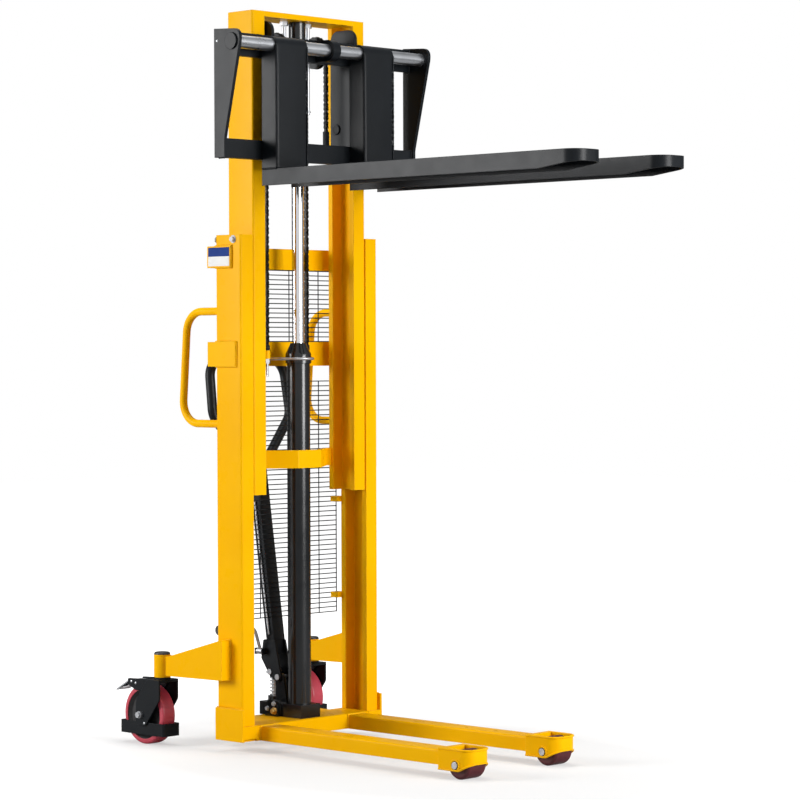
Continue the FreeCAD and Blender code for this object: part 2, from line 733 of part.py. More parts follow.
def caster_yoke():
    axle_x = -CASTER_TRAIL
    cheek = [
        (YOKE_REAR, YOKE_HEIGHT, 0),
        (YOKE_FRONT, YOKE_HEIGHT, 0),
        (YOKE_FRONT, YOKE_HEIGHT - CHEEK_DROP, CHEEK_BOSS),
        (axle_x + CHEEK_BOSS, WHEEL_RADIUS - CHEEK_FOOT, CHEEK_BOSS * 0.7),
        (axle_x - CHEEK_BOSS, WHEEL_RADIUS - CHEEK_FOOT, CHEEK_BOSS * 0.7),
        (axle_x - CHEEK_BOSS, WHEEL_RADIUS + 2 * CHEEK_BOSS, CHEEK_BOSS * 2),
    ]
    top = block((YOKE_REAR, YOKE_FRONT), (-CHEEK_INNER, CHEEK_INNER), (YOKE_HEIGHT - YOKE_PLATE, YOKE_HEIGHT))
    yoke = top.fuse(side_prism(cheek, CHEEK_INNER, CHEEK_OUTER))
    yoke = yoke.fuse(side_prism(cheek, -CHEEK_OUTER, -CHEEK_INNER))
    ear = [
        (BRAKE_PIVOT_X - 4 * BRAKE_PIN, BRAKE_PIVOT_Z - 2 * BRAKE_PIN, BRAKE_PIN),
        (BRAKE_PIVOT_X - 4 * BRAKE_PIN, BRAKE_PIVOT_Z + 2 * BRAKE_PIN, BRAKE_PIN),
        (YOKE_REAR, YOKE_HEIGHT, 0),
        (YOKE_REAR + BRAKE_EAR_ROOT, YOKE_HEIGHT, 0),
        (YOKE_REAR + BRAKE_EAR_ROOT, YOKE_HEIGHT - YOKE_PLATE, 0),
        (YOKE_REAR, YOKE_HEIGHT - BRAKE_EAR_DEPTH, 0),
        (BRAKE_PIVOT_X + 4 * BRAKE_PIN, YOKE_HEIGHT - BRAKE_EAR_DEPTH, 4 * BRAKE_PIN),
    ]
    far = BRAKE_HALF_WIDTH + BRAKE_EAR
    yoke = yoke.fuse(side_prism(ear, BRAKE_HALF_WIDTH, far))
    yoke = yoke.fuse(side_prism(ear, -far, -BRAKE_HALF_WIDTH))
    yoke = yoke.fuse(upright_bar(SLEEVE_RADIUS, 0, 0, YOKE_HEIGHT, SLEEVE_LOW - RUN_GAP))
    yoke = yoke.fuse(upright_bar(STEM_RADIUS, 0, 0, YOKE_HEIGHT, SLEEVE_LOW + SLEEVE_HEIGHT - 1))
    yoke = yoke.cut(cross_bar(CASTER_AXLE, axle_x, WHEEL_RADIUS, -CHEEK_OUTER, CHEEK_OUTER))
    yoke = yoke.cut(cross_bar(BRAKE_PIN + FIT, BRAKE_PIVOT_X, BRAKE_PIVOT_Z, -far, far))
    return caster_place(yoke.fuse(foot_guard()).removeSplitter())


def caster_axle():
    axle = cross_bar(CASTER_AXLE, -CASTER_TRAIL, WHEEL_RADIUS, -CHEEK_OUTER, CHEEK_OUTER)
    reach = CHEEK_OUTER + CASTER_AXLE_HEAD_LENGTH
    for near, far in ((-reach, -CHEEK_OUTER), (CHEEK_OUTER, reach)):
        axle = axle.fuse(cross_bar(CASTER_AXLE_HEAD, -CASTER_TRAIL, WHEEL_RADIUS, near, far))
    return caster_place(axle.removeSplitter())


def caster_hub():
    half = HUB_WIDTH / 2
    dish = half * 0.6
    boss = CHEEK_INNER - RUN_GAP
    corners = [
        (CASTER_AXLE + FIT, -boss, 0),
        (2 * CASTER_AXLE, -boss, 0),
        (2.5 * CASTER_AXLE, -dish, 0),
        (HUB_RADIUS - CASTER_AXLE, -dish, 0),
        (HUB_RADIUS, -half, 0),
        (HUB_RADIUS, half, 0),
        (HUB_RADIUS - CASTER_AXLE, dish, 0),
        (2.5 * CASTER_AXLE, dish, 0),
        (2 * CASTER_AXLE, boss, 0),
        (CASTER_AXLE + FIT, boss, 0),
    ]
    return caster_place(turned_across(corners, -CASTER_TRAIL, WHEEL_RADIUS))


def caster_tread():
    half = TREAD_WIDTH / 2
    corners = [
        (HUB_RADIUS, -half, 0),
        (WHEEL_RADIUS, -half, TREAD_ROUND),
        (WHEEL_RADIUS, half, TREAD_ROUND),
        (HUB_RADIUS, half, 0),
    ]
    return caster_place(turned_across(corners, -CASTER_TRAIL, WHEEL_RADIUS))


def foot_guard():
    """Bent strip round the wheel, welded to the inside of both cheeks."""
    front = -CASTER_TRAIL + GUARD_HALF_LENGTH
    rear = -CASTER_TRAIL - GUARD_HALF_LENGTH
    side = CHEEK_INNER
    inside = side - GUARD_PLATE
    top = GUARD_LOW + GUARD_HEIGHT
    outer = [
        (rear, -side, GUARD_BEND),
        (front, -side, GUARD_BEND),
        (front, side, GUARD_BEND),
        (rear, side, GUARD_BEND),
    ]
    bend = GUARD_BEND - GUARD_PLATE
    inner = [
        (rear + GUARD_PLATE, -inside, bend),
        (front - GUARD_PLATE, -inside, bend),
        (front - GUARD_PLATE, inside, bend),
        (rear + GUARD_PLATE, inside, bend),
    ]
    return plan_prism(outer, GUARD_LOW, top).cut(plan_prism(inner, GUARD_LOW, top))


def brake_pedal():
    """Foot lever on a cross pin, with a shoe that stands clear of the tread."""
    lever = [
        (BRAKE_PIVOT_X + 2 * BRAKE_PIN, BRAKE_PIVOT_Z + BRAKE_LEVER, 0),
        (BRAKE_PIVOT_X - 4 * BRAKE_PIN, BRAKE_PIVOT_Z + BRAKE_LEVER, BRAKE_PIN),
        (-BRAKE_REACH, BRAKE_PIVOT_Z - BRAKE_DROP, 0),
        (-BRAKE_REACH, BRAKE_PIVOT_Z - BRAKE_DROP - BRAKE_LEVER, 0),
        (BRAKE_PIVOT_X - 4 * BRAKE_PIN, BRAKE_PIVOT_Z, 2 * BRAKE_PIN),
        (BRAKE_PIVOT_X - 2 * BRAKE_PIN, BRAKE_PIVOT_Z - 2 * BRAKE_PIN, 0),
        (BRAKE_PIVOT_X + 2 * BRAKE_PIN, BRAKE_PIVOT_Z - 2 * BRAKE_PIN, 0),
    ]
    half = BRAKE_HALF_WIDTH - RUN_GAP
    pedal = side_prism(lever, -half, half)
    far = BRAKE_HALF_WIDTH + BRAKE_EAR
    pin = cross_bar(BRAKE_PIN, BRAKE_PIVOT_X, BRAKE_PIVOT_Z, -far, far)
    return caster_place(pedal.fuse(pin).removeSplitter())


def inner_post():
    """Inner channel with the stub that carries its lower guide roller."""
    post = channel(INNER_HALF_WIDTH, INNER_BOTTOM, INNER_TOP)
    z = INNER_BOTTOM + MAST_ROLLER_RISE
    stub_end = MAST_HALF_WIDTH - WEB - STAGE_GAP
    stub = cross_bar(STUB_RADIUS, CHANNEL_MIDDLE, z, INNER_HALF_WIDTH, stub_end)
    return post.fuse(stub).removeSplitter()


def guide_roller(z, right):
    """Ball-bearing roller between the flanges of a channel, its inner face at y = right."""
    left = right + ROLLER_WIDTH
    ring = cross_bar(ROLLER_RADIUS, CHANNEL_MIDDLE, z, right, left)
    return ring.cut(cross_bar(STUB_RADIUS + FIT, CHANNEL_MIDDLE, z, right, left))


def top_beam():
    low = INNER_TOP - TOP_BEAM
    return block((-MAST_DEPTH + TOP_BEAM_REAR, 0), (-INNER_TIP_Y, INNER_TIP_Y), (low, INNER_TOP))


def lower_tie():
    """Flat bar from rear flange to rear flange, bowed forward round the cylinder."""
    bow = CYLINDER_X + CYLINDER_RADIUS + TIE_BOW_GAP
    rear = -MAST_DEPTH
    bend = TIE_PLATE
    step = TIE_PLATE / 2
    corners = [
        (rear, -INNER_TIP_Y, 0),
        (rear, -TIE_SIDE + step, bend),
        (bow, -TIE_FLAT_HALF + step, bend),
        (bow, TIE_FLAT_HALF - step, bend),
        (rear, TIE_SIDE - step, bend),
        (rear, INNER_TIP_Y, 0),
        (rear + TIE_PLATE, INNER_TIP_Y, 0),
        (rear + TIE_PLATE, TIE_SIDE + step, bend),
        (bow + TIE_PLATE, TIE_FLAT_HALF + step, bend),
        (bow + TIE_PLATE, -TIE_FLAT_HALF - step, bend),
        (rear + TIE_PLATE, -TIE_SIDE - step, bend),
        (rear + TIE_PLATE, -INNER_TIP_Y, 0),
    ]
    low = INNER_BOTTOM + TIE_LOW
    return plan_prism(corners, low, low + TIE_HEIGHT)


def guide_rod():
    top = INNER_TOP - TOP_BEAM
    low = INNER_TOP - GUIDE_BOTTOM
    rod = upright_bar(GUIDE_RADIUS, WHEEL_X, GUIDE_Y, low, top)
    rod = rod.fuse(hex_nut(GUIDE_NUT_ACROSS, WHEEL_X, GUIDE_Y, top - GUIDE_NUT, top))
    washer = low + 2 * GUIDE_WASHER
    rod = rod.fuse(upright_bar(GUIDE_WASHER_RADIUS, WHEEL_X, GUIDE_Y, washer, washer + GUIDE_WASHER))
    return rod.removeSplitter()


def crosshead():
    """Block pushed up by the piston rod: wheel stubs at its ends, a head under the top beam."""
    half = CHAIN_Y - WHEEL_WIDTH / 2 - RUN_GAP
    low = WHEEL_Z - CROSSHEAD_HEIGHT / 2
    high = WHEEL_Z + CROSSHEAD_HEIGHT / 2
    x = (WHEEL_X - CROSSHEAD_DEPTH / 2, WHEEL_X + CROSSHEAD_DEPTH / 2)
    body = block(x, (-half, half), (low, high))
    for side in (-1, 1):
        body = body.cut(upright_bar(GUIDE_RADIUS + FIT, WHEEL_X, side * GUIDE_Y, low, high))
    collar = CHAIN_Y + WHEEL_WIDTH / 2 + RUN_GAP
    end = collar + WHEEL_COLLAR
    body = body.fuse(cross_bar(STUB_RADIUS, WHEEL_X, WHEEL_Z, half, end))
    body = body.fuse(cross_bar(STUB_RADIUS, WHEEL_X, WHEEL_Z, -end, -half))
    body = body.fuse(cross_bar(WHEEL_COLLAR_RADIUS, WHEEL_X, WHEEL_Z, collar, end))
    body = body.fuse(cross_bar(WHEEL_COLLAR_RADIUS, WHEEL_X, WHEEL_Z, -end, -collar))
    head_top = INNER_TOP - TOP_BEAM - RUN_GAP
    body = body.fuse(upright_bar(ROD_HEAD_RADIUS, CYLINDER_X, 0, high, head_top))
    return body.removeSplitter()


def piston_rod():
    low = CYLINDER_TOP - PISTON_BELOW_GLAND - PISTON_HEIGHT
    rod = upright_bar(ROD_RADIUS, CYLINDER_X, 0, low, WHEEL_Z - CROSSHEAD_HEIGHT / 2)
    return rod.fuse(upright_bar(CYLINDER_BORE - FIT, CYLINDER_X, 0, low, low + PISTON_HEIGHT)).removeSplitter()


def lift_cylinder():
    tube = upright_bar(CYLINDER_RADIUS, CYLINDER_X, 0, BLOCK_TOP, CYLINDER_TOP)
    return tube.cut(upright_bar(CYLINDER_BORE, CYLINDER_X, 0, BLOCK_TOP, CYLINDER_TOP))


def cylinder_gland():
    low = CYLINDER_TOP
    collar = low + GLAND_COLLAR
    corners = [
        (ROD_RADIUS + FIT, low, 0),
        (GLAND_RADIUS, low, 0),
        (GLAND_RADIUS, collar, 0),
        (GLAND_MOUTH, collar + GLAND_CONE, 0),
        (ROD_RADIUS + FIT, collar + GLAND_CONE, 0),
    ]
    return turned(corners, CYLINDER_X, 0)


def cylinder_clamp():
    """Round-bar U that ties the cylinder head back to the middle strap."""
    reach = GLAND_RADIUS + RUN_GAP + CLAMP_ROD / 2
    front = CYLINDER_X + reach
    bend = reach - 0.01
    corners = [(STRAP_INNER, reach, 0), (front, reach, bend), (front, -reach, bend), (STRAP_INNER, -reach, 0)]
    clamp = bent_tube(corners, flat, CLAMP_ROD / 2)
    clamp.translate(Vector(0, 0, CLAMP_Z))
    return clamp


def chain_outline(length, place):
    """Waisted outline of a row of link plates; place maps (distance along, offset) to a point."""
    links = round(length / CHAIN_PITCH)
    pitch = length / links
    edge = []
    for i in range(links):
        edge.append((i * pitch, CHAIN_WAIST / 2))
        edge.append(((i + 0.3) * pitch, CHAIN_PLATE / 2))
        edge.append(((i + 0.7) * pitch, CHAIN_PLATE / 2))
    edge.append((length, CHAIN_WAIST / 2))
    points = [place(s, offset) for s, offset in edge]
    points += [place(s, -offset) for s, offset in reversed(edge)]
    return Part.makePolygon(points + points[:1])


def chain_piece(length, place):
    face = Part.Face(chain_outline(length, place))
    face.translate(Vector(0, CHAIN_Y - CHAIN_WIDTH / 2, 0))
    return face.extrude(Vector(0, CHAIN_WIDTH, 0))


def rear_strand():
    return chain_piece(WHEEL_Z - ANCHOR_TOP, lambda s, off: upright(REAR_CHAIN_X + off, ANCHOR_TOP + s))


def front_strand():
    return chain_piece(WHEEL_Z - CLEVIS_TOP, lambda s, off: upright(FRONT_CHAIN_X + off, CLEVIS_TOP + s))


def over_wheel(s, offset):
    angle = math.pi - s / WHEEL_PITCH_RADIUS
    reach = WHEEL_PITCH_RADIUS - offset
    return upright(WHEEL_X + reach * math.cos(angle), WHEEL_Z + reach * math.sin(angle))


def chain_wrap():
    return chain_piece(math.pi * WHEEL_PITCH_RADIUS, over_wheel)


def chain_wheel():
    groove = WHEEL_PITCH_RADIUS - CHAIN_PLATE / 2 - RUN_GAP
    half = WHEEL_WIDTH / 2
    wall = CHAIN_WIDTH / 2 + RUN_GAP
    corners = [
        (STUB_RADIUS + FIT, -half, 0),
        (WHEEL_FLANGE, -half, 0),
        (WHEEL_FLANGE, -wall, 0),
        (groove, -wall, 0),
        (groove, wall, 0),
        (WHEEL_FLANGE, wall, 0),
        (WHEEL_FLANGE, half, 0),
        (STUB_RADIUS + FIT, half, 0),
    ]
    wheel = turned_across(corners, WHEEL_X, WHEEL_Z)
    wheel.translate(Vector(0, CHAIN_Y, 0))
    return wheel


def anchor_bracket():
    top = ANCHOR_TOP - ANCHOR_CLEVIS
    half = ANCHOR_BRACKET_WIDTH / 2
    nose = REAR_CHAIN_X + half
    corners = [
        (STRAP_INNER, CHAIN_Y - half, 0),
        (nose, CHAIN_Y - half, half * 0.9),
        (nose, CHAIN_Y + half, half * 0.9),
        (STRAP_INNER, CHAIN_Y + half, 0),
    ]
    bracket = plan_prism(corners, top - ANCHOR_BRACKET, top)
    hole = upright_bar(ANCHOR_BOLT_RADIUS + FIT, REAR_CHAIN_X, CHAIN_Y, top - ANCHOR_BRACKET, top)
    return bracket.cut(hole)


def anchor_bolt():
    top = ANCHOR_TOP - ANCHOR_CLEVIS
    under = top - ANCHOR_BRACKET
    half = CHAIN_PLATE / 2
    bolt = upright_bar(ANCHOR_BOLT_RADIUS, REAR_CHAIN_X, CHAIN_Y, under - ANCHOR_TAIL, top)
    bolt = bolt.fuse(hex_nut(ANCHOR_NUT_ACROSS, REAR_CHAIN_X, CHAIN_Y, under - ANCHOR_NUT, under))
    clevis = block(
        (REAR_CHAIN_X - half, REAR_CHAIN_X + half),
        (CHAIN_Y - half, CHAIN_Y + half),
        (top, ANCHOR_TOP),
    )
    return bolt.fuse(clevis).removeSplitter()


def middle_strap():
    strap = cross_strap(MIDDLE_STRAP_FRONT, MIDDLE_STRAP_LOW, MIDDLE_STRAP_HEIGHT)
    bracket = anchor_bracket()
    return strap.fuse(bracket).fuse(mirrored(bracket)).removeSplitter()


def carriage_plate():
    """Roller plate beside the inner channel, with its two roller stubs."""
    low = FORK_TOP + CARRIAGE_PLATE_LOW
    high = FORK_TOP + CARRIAGE_PLATE_HIGH
    corners = [
        (CARRIAGE_PLATE_REAR, low, 0),
        (CARRIAGE_PLATE_REAR, high, CARRIAGE_PLATE_ROUND),
        (BAR_X, high, CARRIAGE_PLATE_ROUND),
        (BAR_X, low, 0),
    ]
    inner = CARRIAGE_PLATE_OUTER - CARRIAGE_PLATE
    plate = side_prism(corners, inner, CARRIAGE_PLATE_OUTER)
    stub_end = INNER_HALF_WIDTH - WEB - STAGE_GAP
    for level in (CARRIAGE_ROLLER_LOW, CARRIAGE_ROLLER_HIGH):
        z = FORK_TOP + level
        plate = plate.fuse(cross_bar(STUB_RADIUS, CHANNEL_MIDDLE, z, CARRIAGE_PLATE_OUTER, stub_end))
    return plate.removeSplitter()


def carriage_roller(level):
    gap = (INNER_HALF_WIDTH - WEB - INNER_TIP_Y - ROLLER_WIDTH) / 2
    return guide_roller(FORK_TOP + level, INNER_TIP_Y + gap)


def lower_bar():
    """Bar that the fork heels lean on, with the two chain lugs behind it."""
    depth = (BAR_X, BAR_X + LOWER_BAR_DEPTH)
    bar = block(depth, (-SIDE_PLATE_Y, SIDE_PLATE_Y), (LOWER_BAR_BOTTOM, LOWER_BAR_TOP))
    half = CLEVIS_SIDE / 2 + 1
    rear = FRONT_CHAIN_X - CHAIN_PLATE / 2
    for side in (-1, 1):
        y = side * CHAIN_Y
        lug = block((rear, BAR_X), (y - half, y + half), (LOWER_BAR_TOP - CHAIN_LUG_HEIGHT, LOWER_BAR_TOP))
        bar = bar.fuse(lug)
    return bar.removeSplitter()


def chain_clevis():
    half = CLEVIS_SIDE / 2
    depth = CHAIN_PLATE / 2
    x = (FRONT_CHAIN_X - depth, FRONT_CHAIN_X + depth)
    return block(x, (CHAIN_Y - half, CHAIN_Y + half), (LOWER_BAR_TOP, CLEVIS_TOP))


def upper_bar():
    """Bar behind the fork shaft with the lug that steadies the shaft in the middle."""
    depth = (BAR_X, BAR_X + UPPER_BAR_DEPTH)
    half = UPPER_BAR_HEIGHT / 2
    bar = block(depth, (-SIDE_PLATE_Y, SIDE_PLATE_Y), (SHAFT_Z - half, SHAFT_Z + half))
    lug = [
        (depth[1], SHAFT_Z - LUG_RADIUS, 0),
        (SHAFT_X + LUG_RADIUS, SHAFT_Z - LUG_RADIUS, LUG_RADIUS * 0.98),
        (SHAFT_X + LUG_RADIUS, SHAFT_Z + LUG_RADIUS, LUG_RADIUS * 0.98),
        (depth[1], SHAFT_Z + LUG_RADIUS, 0),
    ]
    bar = bar.fuse(side_prism(lug, -LUG_WIDTH / 2, LUG_WIDTH / 2))
    return bar.cut(cross_bar(SHAFT_RADIUS + FIT, SHAFT_X, SHAFT_Z, -LUG_WIDTH, LUG_WIDTH)).removeSplitter()


def side_plate():
    """Tapered end plate of the carriage, round about the shaft."""
    boss = SIDE_PLATE_BOSS
    front = SHAFT_X + boss
    corners = [
        (SIDE_PLATE_REAR, LOWER_BAR_BOTTOM, 0),
        (SIDE_PLATE_REAR + SIDE_PLATE_FOOT, LOWER_BAR_BOTTOM, 0),
        (SIDE_PLATE_REAR + SIDE_PLATE_FOOT, LOWER_BAR_TOP, LOWER_BAR_HEIGHT),
        (front, SHAFT_Z, 2 * boss),
        (front, SHAFT_Z + boss, boss * 0.7),
        (SIDE_PLATE_REAR, FORK_TOP + SIDE_PLATE_TOP, 0),
    ]
    plate = side_prism(corners, SIDE_PLATE_Y, SIDE_PLATE_Y + SIDE_PLATE)
    hole = cross_bar(SHAFT_RADIUS + FIT, SHAFT_X, SHAFT_Z, SIDE_PLATE_Y, SIDE_PLATE_Y + SIDE_PLATE)
    return plate.cut(hole)


def fork_shaft():
    end = SIDE_PLATE_Y + SIDE_PLATE
    shaft = cross_bar(SHAFT_RADIUS, SHAFT_X, SHAFT_Z, -end, end)
    for near, far in ((-end - SHAFT_DISC, -end), (end, end + SHAFT_DISC)):
        shaft = shaft.fuse(cross_bar(SHAFT_DISC_RADIUS, SHAFT_X, SHAFT_Z, near, far))
    return shaft.removeSplitter()


def fork():
    """Inverted-channel blade with a tapered nose, a channel shank and a tube that hangs on the shaft."""
    half = FORK_WIDTH / 2
    heel = BAR_X + LOWER_BAR_DEPTH + RUN_GAP
    front = SHAFT_X + FORK_TUBE
    low = FORK_TOP - FORK_HEIGHT
    outer = [
        (heel, -half, 0),
        (FORK_TIP_X, -half, FORK_NOSE),
        (FORK_TIP_X, half, FORK_NOSE),
        (heel, half, 0),
    ]
    wall = half - FORK_WALL
    nose = FORK_NOSE - FORK_WALL
    inner = [
        (heel, -wall, 0),
        (FORK_TIP_X - FORK_WALL, -wall, nose),
        (FORK_TIP_X - FORK_WALL, wall, nose),
        (heel, wall, 0),
    ]
    blade = plan_prism(outer, low, FORK_TOP).cut(plan_prism(inner, low, FORK_TOP - FORK_PLATE))
    taper = [
        (FORK_TAPER_START, low, 0),
        (FORK_TIP_X, low, 0),
        (FORK_TIP_X, FORK_TOP - FORK_TIP_HEIGHT, 0),
    ]
    blade = blade.cut(side_prism(taper, -half, half))
    shank = [
        (heel, -half, 0),
        (front, -half, SHANK_PLATE),
        (front, half, SHANK_PLATE),
        (heel, half, 0),
        (heel, half - SHANK_PLATE, 0),
        (front - SHANK_PLATE, half - SHANK_PLATE, 0),
        (front - SHANK_PLATE, -half + SHANK_PLATE, 0),
        (heel, -half + SHANK_PLATE, 0),
    ]
    body = blade.fuse(plan_prism(shank, FORK_TOP, SHAFT_Z))
    body = body.fuse(cross_bar(FORK_TUBE, SHAFT_X, SHAFT_Z, -half, half))
    body = body.cut(cross_bar(SHAFT_RADIUS + FORK_BORE_GAP, SHAFT_X, SHAFT_Z, -half, half))
    body = body.removeSplitter()
    body.translate(Vector(0, FORK_Y, 0))
    return body


def pump_block():
    """Oil block under the cylinder: the bored pump boss and the ears of the tiller's pivot pin."""
    body = block((BLOCK_REAR, BLOCK_FRONT), (-BLOCK_HALF_WIDTH, BLOCK_HALF_WIDTH), (BASE_TOP, BLOCK_TOP))
    body = body.fuse(upright_bar(COLLAR_RADIUS, PLUNGER_X, 0, BLOCK_TOP, SPRING_LOW))
    ear = pump_ear()
    body = body.fuse(ear).fuse(mirrored(ear)).fuse(valve_housing())
    return body.cut(upright_bar(PLUNGER_RADIUS + FIT, PLUNGER_X, 0, BASE_TOP, SPRING_LOW)).removeSplitter()


def valve_housing():
    """Round-topped lowering valve on the right face of the oil block."""
    low = BASE_TOP + RUN_GAP
    rear = VALVE_X - VALVE_HALF_WIDTH
    front = VALVE_X + VALVE_HALF_WIDTH
    corners = [
        (rear, low, 0),
        (rear, low + VALVE_HEIGHT, VALVE_HALF_WIDTH * 0.9),
        (front, low + VALVE_HEIGHT, VALVE_HALF_WIDTH * 0.9),
        (front, low, 0),
    ]
    return side_prism(corners, -BLOCK_HALF_WIDTH - VALVE_DEPTH, -BLOCK_HALF_WIDTH)


def pump_plunger():
    rod = upright_bar(PLUNGER_RADIUS, PLUNGER_X, 0, BLOCK_TOP - PLUNGER_DEPTH, PLUNGER_TOP)
    cap = upright_bar(CAP_RADIUS, PLUNGER_X, 0, PLUNGER_TOP - CAP_HEIGHT, PLUNGER_TOP)
    return rod.fuse(cap).removeSplitter()


def helix_point(turn, low, rise):
    angle = 2 * math.pi * turn
    x = PLUNGER_X + SPRING_RADIUS * math.cos(angle)
    return Vector(x, SPRING_RADIUS * math.sin(angle), low + rise * turn)


def helix_heading(turn, rise):
    angle = 2 * math.pi * turn
    round_part = 2 * math.pi * SPRING_RADIUS
    return Vector(-round_part * math.sin(angle), round_part * math.cos(angle), rise).normalize()


def arc_from(start, corner, end):
    """Arc from start to end whose tangents meet at corner."""
    chord_middle = (start + end) * 0.5
    half = start.distanceToPoint(end) / 2
    towards = corner.sub(chord_middle)
    sag = half * math.tan(math.atan2(towards.Length, half) / 2)
    return Part.Arc(start, chord_middle + towards.normalize() * sag, end).toShape()


def pump_spring():
    """Compression spring: one round wire on biarcs of a quarter turn."""
    low = SPRING_LOW + SPRING_WIRE / 2 + RUN_GAP
    high = PLUNGER_TOP - CAP_HEIGHT - SPRING_WIRE / 2 - RUN_GAP
    rise = (high - low) / SPRING_TURNS
    edges = []
    for quarter in range(4 * SPRING_TURNS):
        start = helix_point(quarter / 4, low, rise)
        end = helix_point((quarter + 1) / 4, low, rise)
        leave = helix_heading(quarter / 4, rise)
        arrive = helix_heading((quarter + 1) / 4, rise)
        span = end.sub(start)
        a = 2 * (leave.dot(arrive) - 1)
        b = -2 * span.dot(leave + arrive)
        c = span.dot(span)
        reach = (-b - math.sqrt(b * b - 4 * a * c)) / (2 * a)
        first = start + leave * reach
        second = end - arrive * reach
        joint = (first + second) * 0.5
        edges += [arc_from(start, first, joint), arc_from(joint, second, end)]
    path = Part.Wire(edges)
    ring = Part.Circle(helix_point(0, low, rise), helix_heading(0, rise), SPRING_WIRE / 2)
    spring = path.makePipeShell([Part.Wire(ring.toShape())], True, False)
    steps = 48
    points = [helix_point(i / steps, low, rise) for i in range(steps * SPRING_TURNS + 1)]
    pairs = [(i, j) for i in range(len(points)) for j in range(i + steps // 2, len(points))]
    least = min(points[i].distanceToPoint(points[j]) for i, j in pairs) - SPRING_WIRE
    print("pump spring least gap to itself %.2f mm" % least)
    return spring


def pump_ear():
    corners = [
        (PIVOT_X - EAR_ROUND, BLOCK_TOP, 0),
        (PIVOT_X - EAR_ROUND, PIVOT_Z + EAR_ROUND, EAR_ROUND * 0.98),
        (PIVOT_X + EAR_ROUND, PIVOT_Z + EAR_ROUND, EAR_ROUND * 0.98),
        (PIVOT_X + EAR_FOOT, BLOCK_TOP, 0),
    ]
    ear = side_prism(corners, EAR_INNER, EAR_INNER + EAR_PLATE)
    return ear.cut(cross_bar(PIVOT_RADIUS + FIT, PIVOT_X, PIVOT_Z, EAR_INNER, EAR_INNER + EAR_PLATE))


def pump_lever():
    """Kite-shaped cheeks outside the ears, bridged at the top where the tiller stem stands."""
    corners = [
        (PLUNGER_X, LEVER_ROLLER_Z - 2 * LEVER_PIN_RADIUS, LEVER_PIN_RADIUS),
        (PLUNGER_X - LEVER_HORN, LEVER_ROLLER_Z + LEVER_HORN_RISE, LEVER_PIN_RADIUS),
        (PLUNGER_X - LEVER_TOP_REAR, LEVER_TOP, LEVER_PIN_RADIUS),
        (PLUNGER_X + LEVER_TOP_FRONT, LEVER_TOP, LEVER_PIN_RADIUS),
        (PIVOT_X + EAR_ROUND, PIVOT_Z, EAR_ROUND * 0.8),
        (PIVOT_X, PIVOT_Z - 1.2 * EAR_ROUND, EAR_ROUND * 0.8),
    ]
    outer = LEVER_INNER + LEVER_PLATE
    cheek = side_prism(corners, LEVER_INNER, outer)
    bridge_x = (PLUNGER_X - LEVER_TOP_REAR + LEVER_PIN_RADIUS, PLUNGER_X + LEVER_TOP_FRONT - LEVER_PIN_RADIUS)
    bridge = block(bridge_x, (-LEVER_INNER, LEVER_INNER), (LEVER_TOP - LEVER_BRIDGE, LEVER_TOP))
    lever = bridge.fuse(cheek).fuse(mirrored(cheek))
    lever = lever.cut(cross_bar(PIVOT_RADIUS, PIVOT_X, PIVOT_Z, -outer, outer))
    lever = lever.cut(cross_bar(LEVER_PIN_RADIUS, PLUNGER_X, LEVER_ROLLER_Z, -outer, outer))
    return lever.fuse(pedal_bracket()).removeSplitter()


def lever_pins():
    outer = LEVER_INNER + LEVER_PLATE
    pivot = cross_bar(PIVOT_RADIUS, PIVOT_X, PIVOT_Z, -outer, outer)
    pin = cross_bar(LEVER_PIN_RADIUS, PLUNGER_X, LEVER_ROLLER_Z, -outer, outer)
    for near, far in ((-outer - PIN_HEAD, -outer), (outer, outer + PIN_HEAD)):
        pivot = pivot.fuse(cross_bar(PIN_HEAD_RADIUS, PIVOT_X, PIVOT_Z, near, far))
        pin = pin.fuse(cross_bar(PIN_HEAD_RADIUS, PLUNGER_X, LEVER_ROLLER_Z, near, far))
    roller = cross_bar(LEVER_ROLLER_RADIUS, PLUNGER_X, LEVER_ROLLER_Z, -LEVER_ROLLER_HALF, LEVER_ROLLER_HALF)
    return Part.makeCompound([pivot.removeSplitter(), pin.fuse(roller).removeSplitter()])


def leaned(shape):
    """Stand a piece, modelled upright about x = 0 and z = 0, on the lever at the tiller's lean."""
    shape.rotate(Vector(0, 0, 0), Vector(0, 1, 0), -TILLER_LEAN)
    shape.translate(Vector(STEM_BASE_X, 0, LEVER_TOP))
    return shape


def tiller_loop():
    loop_top = STEM_LENGTH + LOOP_SHOULDER_Z + LOOP_RISE
    corners = [
        (0, STEM_LENGTH, 0),
        (LOOP_FOOT, STEM_LENGTH, LOOP_FOOT_BEND),
        (LOOP_SHOULDER_Y, STEM_LENGTH + LOOP_SHOULDER_Z, LOOP_BEND),
        (LOOP_TOP_Y, loop_top, LOOP_BEND),
        (0, loop_top, 0),
    ]
    half = bent_tube(corners, crosswise, LOOP_TUBE / 2)
    return leaned(half.fuse(mirrored(half)).removeSplitter())


def tiller_stem(loop):
    drop = STEM_DEPTH
    depth = STEM_DEPTH / 2
    width = STEM_WIDTH / 2
    tube = block((-depth, depth), (-width, width), (-drop, STEM_LENGTH))
    hollow = block(
        (-depth + STEM_WALL, depth - STEM_WALL),
        (-width + STEM_WALL, width - STEM_WALL),
        (-drop, STEM_LENGTH - LOOP_TUBE),
    )
    stem = leaned(tube.cut(hollow)).cut(loop)
    below = block((-2 * STEM_LENGTH, STEM_LENGTH), (-STEM_WIDTH, STEM_WIDTH), (0, LEVER_TOP))
    return stem.cut(below)


def release_rod():
    y = -STEM_WIDTH / 2 - RELEASE_ROD / 2 - RUN_GAP
    return leaned(upright_bar(RELEASE_ROD / 2, 0, y, STEM_DEPTH / 2, RELEASE_ROD_LENGTH))


